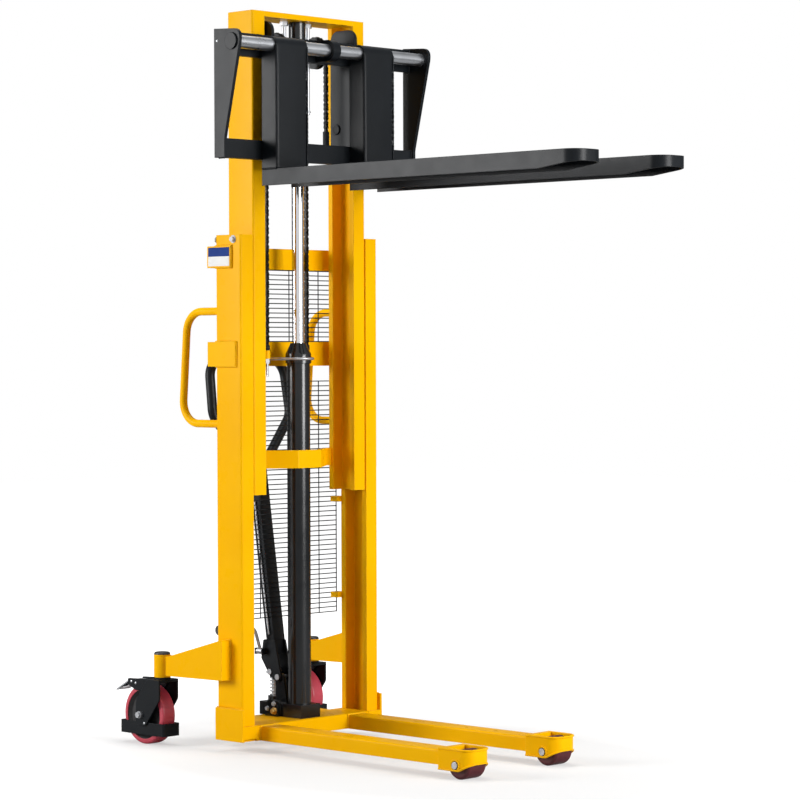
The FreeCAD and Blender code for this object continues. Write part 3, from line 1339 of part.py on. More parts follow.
def release_pedal():
    """Hub on a pin beside the lever, with a bent rod that ends in a knob behind the right post."""
    x, y, z = PEDAL_X, PEDAL_Y, PEDAL_Z
    rear = Vector(x - PEDAL_HUB_LENGTH / 2, y, z)
    hub = Part.makeCylinder(PEDAL_HUB_RADIUS, PEDAL_HUB_LENGTH, rear, Vector(1, 0, 0))
    corners = [
        (y, z, 0),
        (PEDAL_KNEE_Y, PEDAL_KNEE_Z, PEDAL_BEND),
        (PEDAL_END_Y, PEDAL_KNEE_Z, 0),
    ]
    rod = bent_tube(corners, crosswise, PEDAL_ROD / 2)
    rod.translate(Vector(x, 0, 0))
    knob = cross_bar(KNOB_RADIUS, x, PEDAL_KNEE_Z, PEDAL_END_Y - KNOB_LENGTH, PEDAL_END_Y)
    pedal = hub.fuse(rod).fuse(knob)
    pin = Part.makeCylinder(PEDAL_PIN_RADIUS + FIT, PEDAL_HUB_LENGTH, rear, Vector(1, 0, 0))
    return pedal.cut(pin).removeSplitter()


def pedal_bracket():
    """Clevis on the lever's right cheek that holds the release pedal's pin."""
    x, y, z = PEDAL_X, PEDAL_Y, PEDAL_Z
    half = PEDAL_HUB_LENGTH / 2 + RUN_GAP
    side = -LEVER_INNER - LEVER_PLATE
    rear = Vector(x - half - BRAKE_EAR, y, z)
    bracket = Part.makeCylinder(PEDAL_PIN_RADIUS, 2 * half + 2 * BRAKE_EAR, rear, Vector(1, 0, 0))
    for low, high in ((x - half - BRAKE_EAR, x - half), (x + half, x + half + BRAKE_EAR)):
        ear = block((low, high), (y - PEDAL_HUB_RADIUS, side), (z - PEDAL_HUB_RADIUS, z + PEDAL_HUB_RADIUS))
        bracket = bracket.fuse(ear)
    return bracket.removeSplitter()


def assembly():
    """Every node of the stacker by name."""
    middle_top = MIDDLE_STRAP_LOW + MIDDLE_STRAP_HEIGHT
    mesh_top = MIDDLE_STRAP_LOW - MESH_GAP_UNDER_STRAP
    mast_roller_y = OUTER_TIP_Y + MAST_ROLLER_SIDE
    panels = [mesh_panel(MESH_LOW, mesh_top), mesh_panel(middle_top, TOP_STRAP_LOW)]
    loop = tiller_loop()
    nodes = {
        "outer_posts": pair(outer_post()),
        "wear_pads": pair(wear_pad()),
        "adjusting_screws": adjusting_screws(),
        "top_strap": cross_strap(TOP_STRAP_FRONT, TOP_STRAP_LOW, TOP_STRAP_HEIGHT),
        "middle_strap": middle_strap(),
        "mesh_guard": Part.makeCompound(panels),
        "post_shoes": pair(post_shoe()),
        "base_beam": base_beam(),
        "support_legs": pair(support_leg()),
        "leg_ends": pair(leg_end()),
        "load_axles": pair(load_axle()),
        "side_handles": pair(side_handle()),
        "caster_arms": pair(caster_arm()),
        "stem_caps": pair(stem_cap()),
        "pump_block": pump_block(),
        "lift_cylinder": lift_cylinder(),
        "cylinder_gland": cylinder_gland(),
        "cylinder_clamp": cylinder_clamp(),
        "anchor_bolts": pair(anchor_bolt()),
        "chain_rear": pair(rear_strand()),
        "inner_posts": pair(inner_post()),
        "mast_rollers": pair(guide_roller(INNER_BOTTOM + MAST_ROLLER_RISE, mast_roller_y)),
        "top_beam": top_beam(),
        "lower_tie": lower_tie(),
        "guide_rods": pair(guide_rod()),
        "crosshead": crosshead(),
        "piston_rod": piston_rod(),
        "chain_wheels": pair(chain_wheel()),
        "chain_wrap": pair(chain_wrap()),
        "chain_front": pair(front_strand()),
        "carriage_plates": pair(carriage_plate()),
        "carriage_rollers_lower": pair(carriage_roller(CARRIAGE_ROLLER_LOW)),
        "carriage_rollers_upper": pair(carriage_roller(CARRIAGE_ROLLER_HIGH)),
        "lower_bar": lower_bar(),
        "upper_bar": upper_bar(),
        "chain_clevises": pair(chain_clevis()),
        "side_plates": pair(side_plate()),
        "fork_shaft": fork_shaft(),
        "pump_plunger": pump_plunger(),
        "pump_spring": pump_spring(),
        "pump_lever": pump_lever(),
        "lever_pins": lever_pins(),
        "tiller_loop": loop,
        "tiller_stem": tiller_stem(loop),
        "release_rod": release_rod(),
        "release_pedal": release_pedal(),
    }
    twins = {
        "load_roller": load_roller(),
        "fork": fork(),
        "caster_yoke": caster_yoke(),
        "caster_axle": caster_axle(),
        "caster_hub": caster_hub(),
        "caster_tread": caster_tread(),
        "brake_pedal": brake_pedal(),
    }
    for name, shape in twins.items():
        nodes[name + "_left"] = shape
        nodes[name + "_right"] = mirrored(shape)
    return nodes


os.makedirs("parts", exist_ok=True)
all_nodes = assembly()
for node_name, node_shape in all_nodes.items():
    node_shape.translate(Vector(-ORIGIN_X, 0, 0))
    if not node_shape.isValid():
        print("not valid:", node_name)
    node_shape.exportStep("parts/" + node_name + ".step")
print(len(all_nodes), "nodes")
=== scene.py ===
# %% [markdown]
# # A hand pallet stacker
# The solids of the stacker come in as a fixed frame: every piece is already where it belongs, in
# metres, and moves with its own body. This lesson gives each surface a finish and adds what a
# maker would only draw in Blender: round wires, chain links, weld beads, hex heads and plates.

# %% Load the frame
import json
import math
import bmesh
import bpy
from mathutils import Matrix, Vector


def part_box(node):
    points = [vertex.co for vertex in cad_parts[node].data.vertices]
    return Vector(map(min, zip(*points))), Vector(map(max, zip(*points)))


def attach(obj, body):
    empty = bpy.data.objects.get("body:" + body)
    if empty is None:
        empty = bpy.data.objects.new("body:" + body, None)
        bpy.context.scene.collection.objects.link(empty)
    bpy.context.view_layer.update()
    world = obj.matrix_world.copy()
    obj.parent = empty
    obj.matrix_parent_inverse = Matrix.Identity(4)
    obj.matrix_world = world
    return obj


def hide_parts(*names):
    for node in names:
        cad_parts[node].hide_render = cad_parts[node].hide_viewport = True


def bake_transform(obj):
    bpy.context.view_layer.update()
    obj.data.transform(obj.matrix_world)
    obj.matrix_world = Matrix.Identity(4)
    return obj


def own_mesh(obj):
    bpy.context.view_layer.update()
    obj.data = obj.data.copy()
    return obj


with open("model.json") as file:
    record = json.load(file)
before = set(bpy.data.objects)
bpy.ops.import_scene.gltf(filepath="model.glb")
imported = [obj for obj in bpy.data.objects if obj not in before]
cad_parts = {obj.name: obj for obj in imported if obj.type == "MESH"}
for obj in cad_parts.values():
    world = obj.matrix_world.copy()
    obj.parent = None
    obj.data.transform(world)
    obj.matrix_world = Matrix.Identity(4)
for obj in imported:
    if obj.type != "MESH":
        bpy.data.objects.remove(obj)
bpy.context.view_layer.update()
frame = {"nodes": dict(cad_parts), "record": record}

nodes = frame["nodes"]
record = frame["record"]
body_with = {node: body for body, names in record["behaviour"]["bodies"].items() for node in names}
slot_of = {part["node"]: part["material_slot"] for part in record["subparts"]}
mast_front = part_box("outer_posts")[1].x
scene = bpy.context.scene
scene.view_settings.view_transform = "Standard"


def at(x, y, z):
    """Millimetres from the mast's front face, the middle plane and the floor, as a point in the frame."""
    return Vector((mast_front + x / 1000, y / 1000, z / 1000))


# %% [markdown]
# ## Camera
# The picture was taken from in front and to the right with a long lens, almost level. A long lens keeps
# the mast's edges parallel, so the camera stands about eight metres away. Its place and turn were fitted
# to the edges of the mast, and the focal length is kept in pixels of the picture, as the fit gives it.

# %% Camera
PICTURE_SIDE = 800
FOCAL_PIXELS = 2838.2
SHIFT_PIXELS = 10.8
SENSOR_WIDTH = 36
VIEWPOINT = at(5794.4, -5603.9, 1114.9)
azimuth, pitch, roll = math.radians(44.156), math.radians(-1.177), math.radians(-0.179)

camera_data = bpy.data.cameras.new("stacker_camera")
camera_data.sensor_width = SENSOR_WIDTH
camera_data.lens = SENSOR_WIDTH * FOCAL_PIXELS / PICTURE_SIDE
camera_data.shift_y = SHIFT_PIXELS / PICTURE_SIDE
camera_data.clip_end = 60
camera = bpy.data.objects.new("stacker_camera", camera_data)
scene.collection.objects.link(camera)
scene.camera = camera
level = math.cos(pitch)
ahead = Vector((-math.sin(azimuth) * level, math.cos(azimuth) * level, math.sin(pitch)))
turn = ahead.to_track_quat("-Z", "Y").to_matrix().to_4x4()
camera.matrix_world = Matrix.Translation(VIEWPOINT) @ turn @ Matrix.Rotation(roll, 4, "Z")
print("lens %.1f mm" % camera_data.lens)

# %% [markdown]
# ## Nodes by script
# The world, the floor and every finish are small shader trees. Wiring them by hand in the editor would
# not repeat, so one helper adds nodes and links, and the trees below are read as a list of steps.

# %% Shader helper


class Wiring:
    """The nodes and links of one shader tree."""

    def __init__(self, tree):
        self.tree = tree

    def node(self, kind, **settings):
        made = self.tree.nodes.new(kind)
        for key, value in settings.items():
            setattr(made, key, value)
        return made

    def wire(self, start, end):
        self.tree.links.new(start, end)

    def feed(self, socket, value):
        """Link an output to a socket, or set a plain value on it."""
        if hasattr(value, "is_output"):
            self.wire(value, socket)
        else:
            socket.default_value = value

    def vector(self, operation, first, second=None):
        made = self.node("ShaderNodeVectorMath", operation=operation)
        self.wire(first, made.inputs[0])
        if second is not None:
            self.feed(made.inputs[1], second)
        return made.outputs

    def spread(self, value, low, high, start=0.3, end=0.7):
        """Stretch what lies between start and end over low to high."""
        span = self.node("ShaderNodeMapRange")
        for name, number in (("From Min", start), ("From Max", end), ("To Min", low), ("To Max", high)):
            span.inputs[name].default_value = number
        self.wire(value, span.inputs["Value"])
        return span.outputs[0]

    def by_ray(self, lighting, mirrored, seen):
        """A strength for rays that light the object, for mirror-like rays and for the camera."""
        rays = self.node("ShaderNodeLightPath").outputs
        strength = lighting
        for name, value in (
            ("Is Glossy Ray", mirrored),
            ("Is Transmission Ray", seen),
            ("Is Camera Ray", seen),
        ):
            step = self.node("ShaderNodeMix")
            self.wire(rays[name], step.inputs[0])
            self.feed(step.inputs[2], strength)
            self.feed(step.inputs[3], value)
            strength = step.outputs[0]
        return strength


print("shader helper ready")

# %% [markdown]
# ## World
# The world is white to the camera only, and gives the object little light of its own, so the paint keeps
# its colour. Polished metal mirrors a bright studio in front and a dim one behind, which gives the rod and
# the shaft their dark edges.

# %% World
AMBIENT = 0.12
MIRRORED = 0.95
MIRRORED_BEHIND = 0.22
IN_FRONT = (0.72, -0.70, 0)

world = bpy.data.worlds.new("studio")
scene.world = world
world.use_nodes = True
studio = Wiring(world.node_tree)
backdrop = world.node_tree.nodes["Background"]
backdrop.inputs["Color"].default_value = (1, 1, 1, 1)
direction = studio.node("ShaderNodeTexCoord").outputs["Generated"]
forward = studio.vector("DOT_PRODUCT", direction, IN_FRONT)["Value"]
mirrored = studio.spread(forward, MIRRORED_BEHIND, MIRRORED, -0.4, 0.3)
studio.wire(studio.by_ray(AMBIENT, mirrored, 1.0), backdrop.inputs["Strength"])
print("world:", world.name)

# %% [markdown]
# ## Floor
# A white floor that is only lit would need lamps so strong that they bleach the paint. This one is pale and
# adds a glow that only the camera sees, weaker in an oval round the object, where its shadow has to show.

# %% Floor
FLOOR_HALF = 14
FLOOR_GREY = (0.5, 0.5, 0.5, 1)
SHADOW_OVAL = (0.75, 1.2, 0)
NEAR_GLOW, FAR_GLOW = 0.47, 1.0
GLOW_START, GLOW_END = 0.7, 1.5

floor_mesh = bpy.data.meshes.new("floor")
corners = [(x * FLOOR_HALF, y * FLOOR_HALF, 0) for x, y in ((-1, -1), (1, -1), (1, 1), (-1, 1))]
floor_mesh.from_pydata(corners, [], [(0, 1, 2, 3)])
floor = bpy.data.objects.new("floor", floor_mesh)
scene.collection.objects.link(floor)
floor_paint = bpy.data.materials.new("studio_floor")
floor_paint.use_nodes = True
floor_paint.node_tree.nodes.clear()
ground = Wiring(floor_paint.node_tree)
pale = ground.node("ShaderNodeBsdfDiffuse")
pale.inputs["Color"].default_value = FLOOR_GREY
place = ground.node("ShaderNodeTexCoord").outputs["Object"]
away = ground.vector("LENGTH", ground.vector("MULTIPLY", place, SHADOW_OVAL)["Vector"])["Value"]
fade = ground.spread(away, NEAR_GLOW, FAR_GLOW, GLOW_START, GLOW_END)
glow = ground.node("ShaderNodeEmission")
ground.wire(ground.by_ray(0.0, 0.0, fade), glow.inputs["Strength"])
both = ground.node("ShaderNodeAddShader")
ground.wire(pale.outputs[0], both.inputs[0])
ground.wire(glow.outputs[0], both.inputs[1])
ground.wire(both.outputs[0], ground.node("ShaderNodeOutputMaterial").inputs[0])
floor_mesh.materials.append(floor_paint)
print("floor:", 2 * FLOOR_HALF, "m across")

# %% [markdown]
# ## Lamps
# Three softboxes, as in a product studio: one in front and low, so that the raised forks throw no shadow
# down the mast, one from the right that draws a sheen along the black sides, and a weak one above.

# %% Lamps


def softbox(name, place, target, size, power):
    data = bpy.data.lights.new(name, "AREA")
    data.size = size
    data.energy = power
    lamp = bpy.data.objects.new(name, data)
    scene.collection.objects.link(lamp)
    aim = (Vector(target) - Vector(place)).to_track_quat("-Z", "Y")
    lamp.matrix_world = Matrix.Translation(place) @ aim.to_matrix().to_4x4()


softbox("front_box", (4.6, 0.8, 1.75), (0, 0, 1.1), size=2.2, power=240)
softbox("right_box", (-3.2, -4.4, 2.2), (0, 0, 1.2), size=2.4, power=250)
softbox("top_box", (-1.0, 0.5, 5.0), (0, 0, 0.5), size=2.6, power=125)

# %% [markdown]
# ## Finishes
# Every finish here is procedural and reads Object coordinates, which on these pieces are the frame
# itself. Paint is never one flat colour: a broad noise shifts the tone, a fine one gives the orange
# peel, and a Bevel node rounds the shading of the sharp edges and finds them, so that a paler tone
# is painted there as highlight and wear.

# %% Finish helper
BEVEL_SAMPLES = 4
EDGE_SHARP, EDGE_FLAT = 0.80, 0.995


class Finish(Wiring):
    """One Principled material with the few links that the finishes below share."""

    def __init__(self, name, color, roughness, metallic=0.0):
        self.material = bpy.data.materials.new(name)
        self.material.use_nodes = True
        super().__init__(self.material.node_tree)
        self.shader = self.tree.nodes["Principled BSDF"]
        self.shader.inputs["Base Color"].default_value = (*color, 1)
        self.shader.inputs["Roughness"].default_value = roughness
        self.shader.inputs["Metallic"].default_value = metallic
        self.place = self.node("ShaderNodeTexCoord").outputs["Object"]

    def noise(self, scale, detail=3, stretch=(1, 1, 1)):
        mapping = self.node("ShaderNodeMapping")
        mapping.inputs["Scale"].default_value = stretch
        self.wire(self.place, mapping.inputs["Vector"])
        noise = self.node("ShaderNodeTexNoise")
        noise.inputs["Scale"].default_value = scale
        noise.inputs["Detail"].default_value = detail
        self.wire(mapping.outputs[0], noise.inputs["Vector"])
        return noise.outputs["Fac"]

    def tint(self, factor, first, second):
        """A mix of two colours, each given as numbers or as an output."""
        mix = self.node("ShaderNodeMix", data_type="RGBA")
        self.wire(factor, mix.inputs["Factor"])
        for name, color in (("A", first), ("B", second)):
            socket = [s for s in mix.inputs if s.name == name and s.type == "RGBA"][0]
            self.feed(socket, (*color, 1) if isinstance(color, tuple) else color)
        return [s for s in mix.outputs if s.type == "RGBA"][0]

    def edges(self, radius):
        """Rounded normal and a mask that is 1 on sharp edges."""
        bevel = self.node("ShaderNodeBevel", samples=BEVEL_SAMPLES)
        bevel.inputs["Radius"].default_value = radius
        normal = self.node("ShaderNodeNewGeometry").outputs["Normal"]
        match = self.vector("DOT_PRODUCT", bevel.outputs[0], normal)["Value"]
        return bevel.outputs[0], self.spread(match, 1, 0, EDGE_SHARP, EDGE_FLAT)

    def bump(self, height, depth, normal):
        bump = self.node("ShaderNodeBump")
        bump.inputs["Strength"].default_value = 1
        bump.inputs["Distance"].default_value = depth
        self.wire(height, bump.inputs["Height"])
        self.wire(normal, bump.inputs["Normal"])
        self.wire(bump.outputs[0], self.shader.inputs["Normal"])

    def color(self, socket):
        self.wire(socket, self.shader.inputs["Base Color"])

    def roughness(self, socket):
        self.wire(socket, self.shader.inputs["Roughness"])


print("finish helper ready")

# %% [markdown]
# ## Paint
# Gloss paint on the mast: warm yellow, sprayed thick. The tone drifts a little along each post, and the
# edges are painted paler, a painted highlight for the light that rounded edges catch, with a little
# wear. The forks and the carriage are satin black, and the cylinder and the pump a glossier one.

# %% Yellow and black paint
PAINT_EDGE = 0.0022
# noise scales, in waves per metre
TONE_DRIFT = 5.0
GLOSS_DRIFT = 28.0
# the noise that varies the painted edge highlight and wear
EDGE_HIGHLIGHT_AND_WEAR = 60.0
ORANGE_PEEL = 420.0
finishes = {}


def painted(name, deep, light, edge, rough, peel, shine, highlight_and_wear_share=(0, 0.5)):
    paint = Finish(name, deep, sum(rough) / 2)
    rounded, highlit_and_worn_edges = paint.edges(PAINT_EDGE)
    tone = paint.tint(paint.spread(paint.noise(TONE_DRIFT), 0, 1), deep, light)
    # paler paint on the sharp edges: a painted highlight for the light the edges catch, and some wear
    edge_highlight_and_wear = paint.node("ShaderNodeMath", operation="MULTIPLY")
    paint.wire(highlit_and_worn_edges, edge_highlight_and_wear.inputs[0])
    paint.wire(paint.spread(paint.noise(EDGE_HIGHLIGHT_AND_WEAR, 5), *highlight_and_wear_share, 0.45, 0.7), edge_highlight_and_wear.inputs[1])
    paint.color(paint.tint(edge_highlight_and_wear.outputs[0], tone, edge))
    paint.roughness(paint.spread(paint.noise(GLOSS_DRIFT, 4), *rough))
    paint.bump(paint.noise(ORANGE_PEEL, 2), peel, rounded)
    paint.shader.inputs["Specular IOR Level"].default_value = shine
    return paint.material


finishes["yellow_paint"] = painted(
    "yellow_gloss_paint",
    deep=(0.94, 0.465, 0.0),
    light=(0.98, 0.51, 0.0005),
    # the strong paler edge tone on the yellow is a painted highlight
    edge=(1.0, 0.66, 0.05),
    rough=(0.26, 0.34),
    peel=0.00006,
    shine=0.05,
    highlight_and_wear_share=(0.55, 0.8),
)
finishes["black_paint"] = painted(
    "black_satin_paint",
    deep=(0.0035, 0.0050, 0.0068),
    light=(0.0065, 0.0085, 0.0110),
    edge=(0.05, 0.052, 0.056),
    rough=(0.36, 0.40),
    peel=0.00006,
    shine=0.165,
)
black_gloss = painted(
    "black_gloss_paint",
    deep=(0.0026, 0.0036, 0.0048),
    light=(0.005, 0.0064, 0.008),
    edge=(0.05, 0.052, 0.056),
    rough=(0.17, 0.22),
    peel=0.00002,
    shine=0.5,
)
print("paints:", sorted(finishes))

# %% [markdown]
# ## Bare metal
# Bare metal differs by how it was worked: the piston rod is ground and chromed, the shaft is ground, the
# bolts are zinc plated and cloudy, the chain is dark with oil. Noise on roughness tells them apart.

# %% Metals
METAL_EDGE = 0.0008
GLOSS_TO_GRAIN = 2.3


def metal(name, dark, bright, rough, scale, stretch=(1, 1, 1), depth=0.00003):
    steel = Finish(name, dark, sum(rough) / 2, metallic=1.0)
    rounded, _ = steel.edges(METAL_EDGE)
    grain = steel.noise(scale, 5, stretch)
    steel.color(steel.tint(steel.spread(grain, 0, 1), dark, bright))
    steel.roughness(steel.spread(steel.noise(scale * GLOSS_TO_GRAIN, 3, stretch), *rough))
    steel.bump(grain, depth, rounded)
    return steel.material


finishes["bright_steel"] = metal(
    "zinc_plate", (0.36, 0.37, 0.39), (0.48, 0.49, 0.51), (0.40, 0.50), 45.0
)
finishes["chrome"] = metal(
    "hard_chrome", (0.62, 0.63, 0.65), (0.72, 0.73, 0.75), (0.06, 0.14), 30.0, (1, 1, 0.2), 0.000004
)
finishes["chain_steel"] = metal(
    "oiled_chain_steel", (0.012, 0.012, 0.013), (0.045, 0.043, 0.041), (0.30, 0.50), 160.0
)
finishes["roller_steel"] = metal(
    "ground_roller_steel", (0.30, 0.30, 0.31), (0.48, 0.48, 0.49), (0.25, 0.40), 70.0, (1, 8, 1)
)
ground_shaft = metal(
    "ground_shaft", (0.55, 0.57, 0.60), (0.62, 0.64, 0.67), (0.26, 0.32), 9.0, depth=0.000001
)
dull_zinc = metal("dull_zinc", (0.40, 0.40, 0.41), (0.50, 0.50, 0.51), (0.68, 0.78), 60.0)
brass = metal("brass_plug", (0.60, 0.38, 0.12), (0.72, 0.48, 0.18), (0.25, 0.40), 60.0)
print("metals made")

# %% [markdown]
# ## Plastics
# Polyurethane treads and plastic caps are not metal: their colour comes from below the surface, the gloss
# is broad and uneven, and the moulding leaves a very fine grain.

# %% Plastics
PLASTIC_EDGE = 0.001
PLASTIC_TONE = 18.0
PLASTIC_GLOSS = 70.0
MOULD_GRAIN = 700.0


def moulded(name, deep, light, rough, grain):
    plastic = Finish(name, deep, sum(rough) / 2)
    plastic.color(plastic.tint(plastic.spread(plastic.noise(PLASTIC_TONE, 4), 0, 1), deep, light))
    plastic.roughness(plastic.spread(plastic.noise(PLASTIC_GLOSS, 3), *rough))
    rounded, _ = plastic.edges(PLASTIC_EDGE)
    plastic.bump(plastic.noise(MOULD_GRAIN, 2), grain, rounded)
    return plastic.material


finishes["red_tread"] = moulded(
    "red_polyurethane", (0.46, 0.042, 0.070), (0.56, 0.060, 0.092), (0.32, 0.46), 0.00003
)
finishes["maroon_roller"] = moulded(
    "maroon_polyurethane", (0.060, 0.006, 0.010), (0.095, 0.012, 0.018), (0.34, 0.48), 0.00003
)
finishes["black_plastic"] = moulded(
    "black_moulded_plastic", (0.012, 0.012, 0.013), (0.022, 0.022, 0.024), (0.40, 0.55), 0.00005
)
finishes["pale_nylon"] = moulded(
    "pale_nylon", (0.66, 0.64, 0.56), (0.74, 0.72, 0.65), (0.45, 0.60), 0.00003
)
for name, node in nodes.items():
    node.data.materials.clear()
    node.data.materials.append(finishes[slot_of[name]])
print("finishes on", len(nodes), "nodes")

# %% [markdown]
# ## Smooth skins
# The frame's solids arrive as loose flat triangles. A copy with its doubles merged, its faces smooth and
# its creases kept sharp looks turned or bent instead of faceted, and has the very same shape. Nodes that
# later steps draw anew are left out, apart from the brake pedals, whose skins hold their pins.

# %% Smooth skins
DRAWN_LATER = {"mesh_guard", "chain_rear", "chain_front", "chain_wrap", "pump_spring", "adjusting_screws"}
MERGE_DISTANCE = 1e-6
CREASE = math.radians(28)


def settle(name, mesh, body=None, slot=None, material=None):
    """A finished mesh becomes a piece that moves with its body."""
    piece = bpy.data.objects.new(name, mesh)
    scene.collection.objects.link(piece)
    if material is not None:
        mesh.materials.clear()
        mesh.materials.append(material)
    if body:
        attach(piece, body)
    return piece


def smooth_skin(name):
    work = bmesh.new()
    work.from_mesh(nodes[name].data)
    bmesh.ops.remove_doubles(work, verts=work.verts, dist=MERGE_DISTANCE)
    for face in work.faces:
        face.smooth = True
    for edge in work.edges:
        if len(edge.link_faces) != 2 or edge.calc_face_angle(0) > CREASE:
            edge.smooth = False
    mesh = bpy.data.meshes.new(name + "_skin")
    work.to_mesh(mesh)
    work.free()
    piece = settle(name + "_skin", mesh, body_with[name], slot_of[name], finishes[slot_of[name]])
    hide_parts(name)
    return piece


skins = {name: smooth_skin(name) for name in sorted(nodes) if name not in DRAWN_LATER}
print("skins:", len(skins))

# %% [markdown]
# Some nodes have two finishes on the real object: the chain ends above the anchor bolts are black, the foot
# of the release pedal has a plastic pad, and the shaft's ends were painted with the side plates.

# %% Second finishes
CHAIN_END_Z = 1.1215
PEDAL_PAD_Y = -0.1595
SHAFT_END_Y = 0.3755


def second_finish(name, slot, chosen):
    """Another finish on the faces of a skin whose middle passes a test."""
    mesh = skins[name].data
    mesh.materials.append(finishes[slot])
    for face in mesh.polygons:
        if chosen(face.center):
            face.material_index = 1


second_finish("anchor_bolts", "black_paint", lambda p: p.z > CHAIN_END_Z)
second_finish("release_pedal", "black_plastic", lambda p: p.y < PEDAL_PAD_Y)
second_finish("fork_shaft", "black_paint", lambda p: abs(p.y) > SHAFT_END_Y)
skins["fork_shaft"].data.materials[0] = ground_shaft
for name in ("lift_cylinder", "cylinder_gland", "pump_block", "crosshead"):
    skins[name].data.materials[0] = black_gloss
print("second finishes set")

# %% [markdown]
# ## Geometry Nodes: the shared parts of a tree
# Wires, links, beads and hex heads repeat, so Geometry Nodes make them: a small mesh says where they go,
# and a tree says what goes there. Each tree has named sizes, realizes its instances and sets the finish.

# %% Tree helpers


def plain_mesh(holder):
    """What an object's modifiers make of it, as a plain mesh. The object itself is removed."""
    scene.collection.objects.link(holder)
    bpy.context.view_layer.update()
    graph = bpy.context.evaluated_depsgraph_get()
    mesh = bpy.data.meshes.new_from_object(holder.evaluated_get(graph), depsgraph=graph)
    bpy.data.objects.remove(holder)
    return mesh


class Tree:
    """A Geometry Nodes tree with a geometry input, named float inputs and one output."""

    def __init__(self, name, sizes):
        self.group = bpy.data.node_groups.new(name, "GeometryNodeTree")
        face = self.group.interface
        face.new_socket(name="Geometry", in_out="INPUT", socket_type="NodeSocketGeometry")
        self.sockets = {}
        for label, value in sizes.items():
            socket = face.new_socket(name=label, in_out="INPUT", socket_type="NodeSocketFloat")
            socket.default_value = value
            self.sockets[label] = socket.identifier
        face.new_socket(name="Geometry", in_out="OUTPUT", socket_type="NodeSocketGeometry")
        self.inputs = self.group.nodes.new("NodeGroupInput").outputs

    def node(self, kind, links=None, **settings):
        made = self.group.nodes.new(kind)
        for key, value in settings.items():
            setattr(made, key, value)
        for name, value in (links or {}).items():
            socket = made.inputs[name]
            if hasattr(value, "is_output"):
                self.group.links.new(value, socket)
            else:
                socket.default_value = value
        return made

    def math(self, operation, a, b):
        return self.node("ShaderNodeMath", {0: a, 1: b}, operation=operation).outputs[0]

    def height(self, z):
        return self.node("ShaderNodeCombineXYZ", {"Z": z}).outputs[0]

    def cylinder(self, vertices, radius, depth):
        sizes = {"Vertices": vertices, "Radius": radius, "Depth": depth}
        return self.node("GeometryNodeMeshCylinder", sizes, fill_type="NGON").outputs[0]

    def path(self):
        return self.node("GeometryNodeMeshToCurve", {"Mesh": self.inputs["Geometry"]}).outputs[0]

    def join(self, *parts):
        join = self.node("GeometryNodeJoinGeometry")
        for part in parts:
            self.group.links.new(part, join.inputs[0])
        return join.outputs[0]

    def finish(self, geometry, material, smooth=True):
        real = self.node("GeometryNodeRealizeInstances", {"Geometry": geometry}).outputs[0]
        shading = {"Geometry": real, "Shade Smooth": smooth}
        shade = self.node("GeometryNodeSetShadeSmooth", shading).outputs[0]
        dress = {"Geometry": shade, "Material": material}
        dressed = self.node("GeometryNodeSetMaterial", dress).outputs[0]
        self.group.links.new(dressed, self.group.nodes.new("NodeGroupOutput").inputs[0])

    def grow(self, name, seed_mesh, body, slot, **sizes):
        """Run the tree on a mesh and keep the result as a plain piece on a body."""
        holder = bpy.data.objects.new(name + "_seed", seed_mesh)
        modifier = holder.modifiers.new("tree", "NODES")
        modifier.node_group = self.group
        for label, value in sizes.items():
            modifier[self.sockets[label.title()]] = value
        mesh = plain_mesh(holder)
        mesh.name = name
        print(name, len(mesh.polygons), "faces")
        return settle(name, mesh, body, slot)


def polyline(name, *paths):
    """Edges through the points of each path."""
    points, edges = [], []
    for path in paths:
        edges += [(len(points) + i, len(points) + i + 1) for i in range(len(path) - 1)]
        points += [tuple(p) for p in path]
    mesh = bpy.data.meshes.new(name)
    mesh.from_pydata(points, edges, [])
    return mesh


print("tree helpers ready")

# %% [markdown]
# ## Mesh guard
# The guard is drawn wire, welded where uprights and rungs cross. A Wireframe modifier on a grid would give
# square wire. Here a line of points up the panel carries the round rungs, and the seed mesh carries one
# point for each upright, so the tree needs only the panel's two sizes, the pitch and the wire.

# %% Wire panel tree
RUNG_PITCH = 0.0142
WIRE_SIDES = 8

guard_low, guard_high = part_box("mesh_guard")
wire = guard_high.x - guard_low.x
panel = Tree("wire_panel", {"Width": 0.5, "Height": 0.6, "Pitch": RUNG_PITCH, "Wire": wire})
size = panel.inputs
radius = panel.math("MULTIPLY", size["Wire"], 0.5)
rung = panel.cylinder(WIRE_SIDES, radius, size["Width"])
upright = panel.cylinder(WIRE_SIDES, radius, size["Height"])
gaps = panel.math("ROUND", panel.math("DIVIDE", size["Height"], size["Pitch"]), 0.0)
span = panel.math("SUBTRACT", size["Height"], size["Wire"])
ladder = panel.node(
    "GeometryNodeMeshLine",
    {
        "Count": panel.math("ADD", gaps, 1.0),
        "Start Location": panel.height(panel.math("MULTIPLY", span, -0.5)),
        "Offset": panel.height(panel.math("DIVIDE", span, gaps)),
    },
)
rungs = panel.node(
    "GeometryNodeInstanceOnPoints",
    {"Points": ladder.outputs[0], "Instance": rung, "Rotation": (math.pi / 2, 0, 0)},
)
uprights = panel.node("GeometryNodeInstanceOnPoints", {"Points": size["Geometry"], "Instance": upright})
panel.finish(panel.join(rungs.outputs[0], uprights.outputs[0]), finishes["black_paint"])
print("wire %.1f mm" % (wire * 1000))

# %% Two panels, below and above the middle strap
PANEL_GAP = 0.043
INNER_UPRIGHTS = (-0.074, 0.043, 0.160)

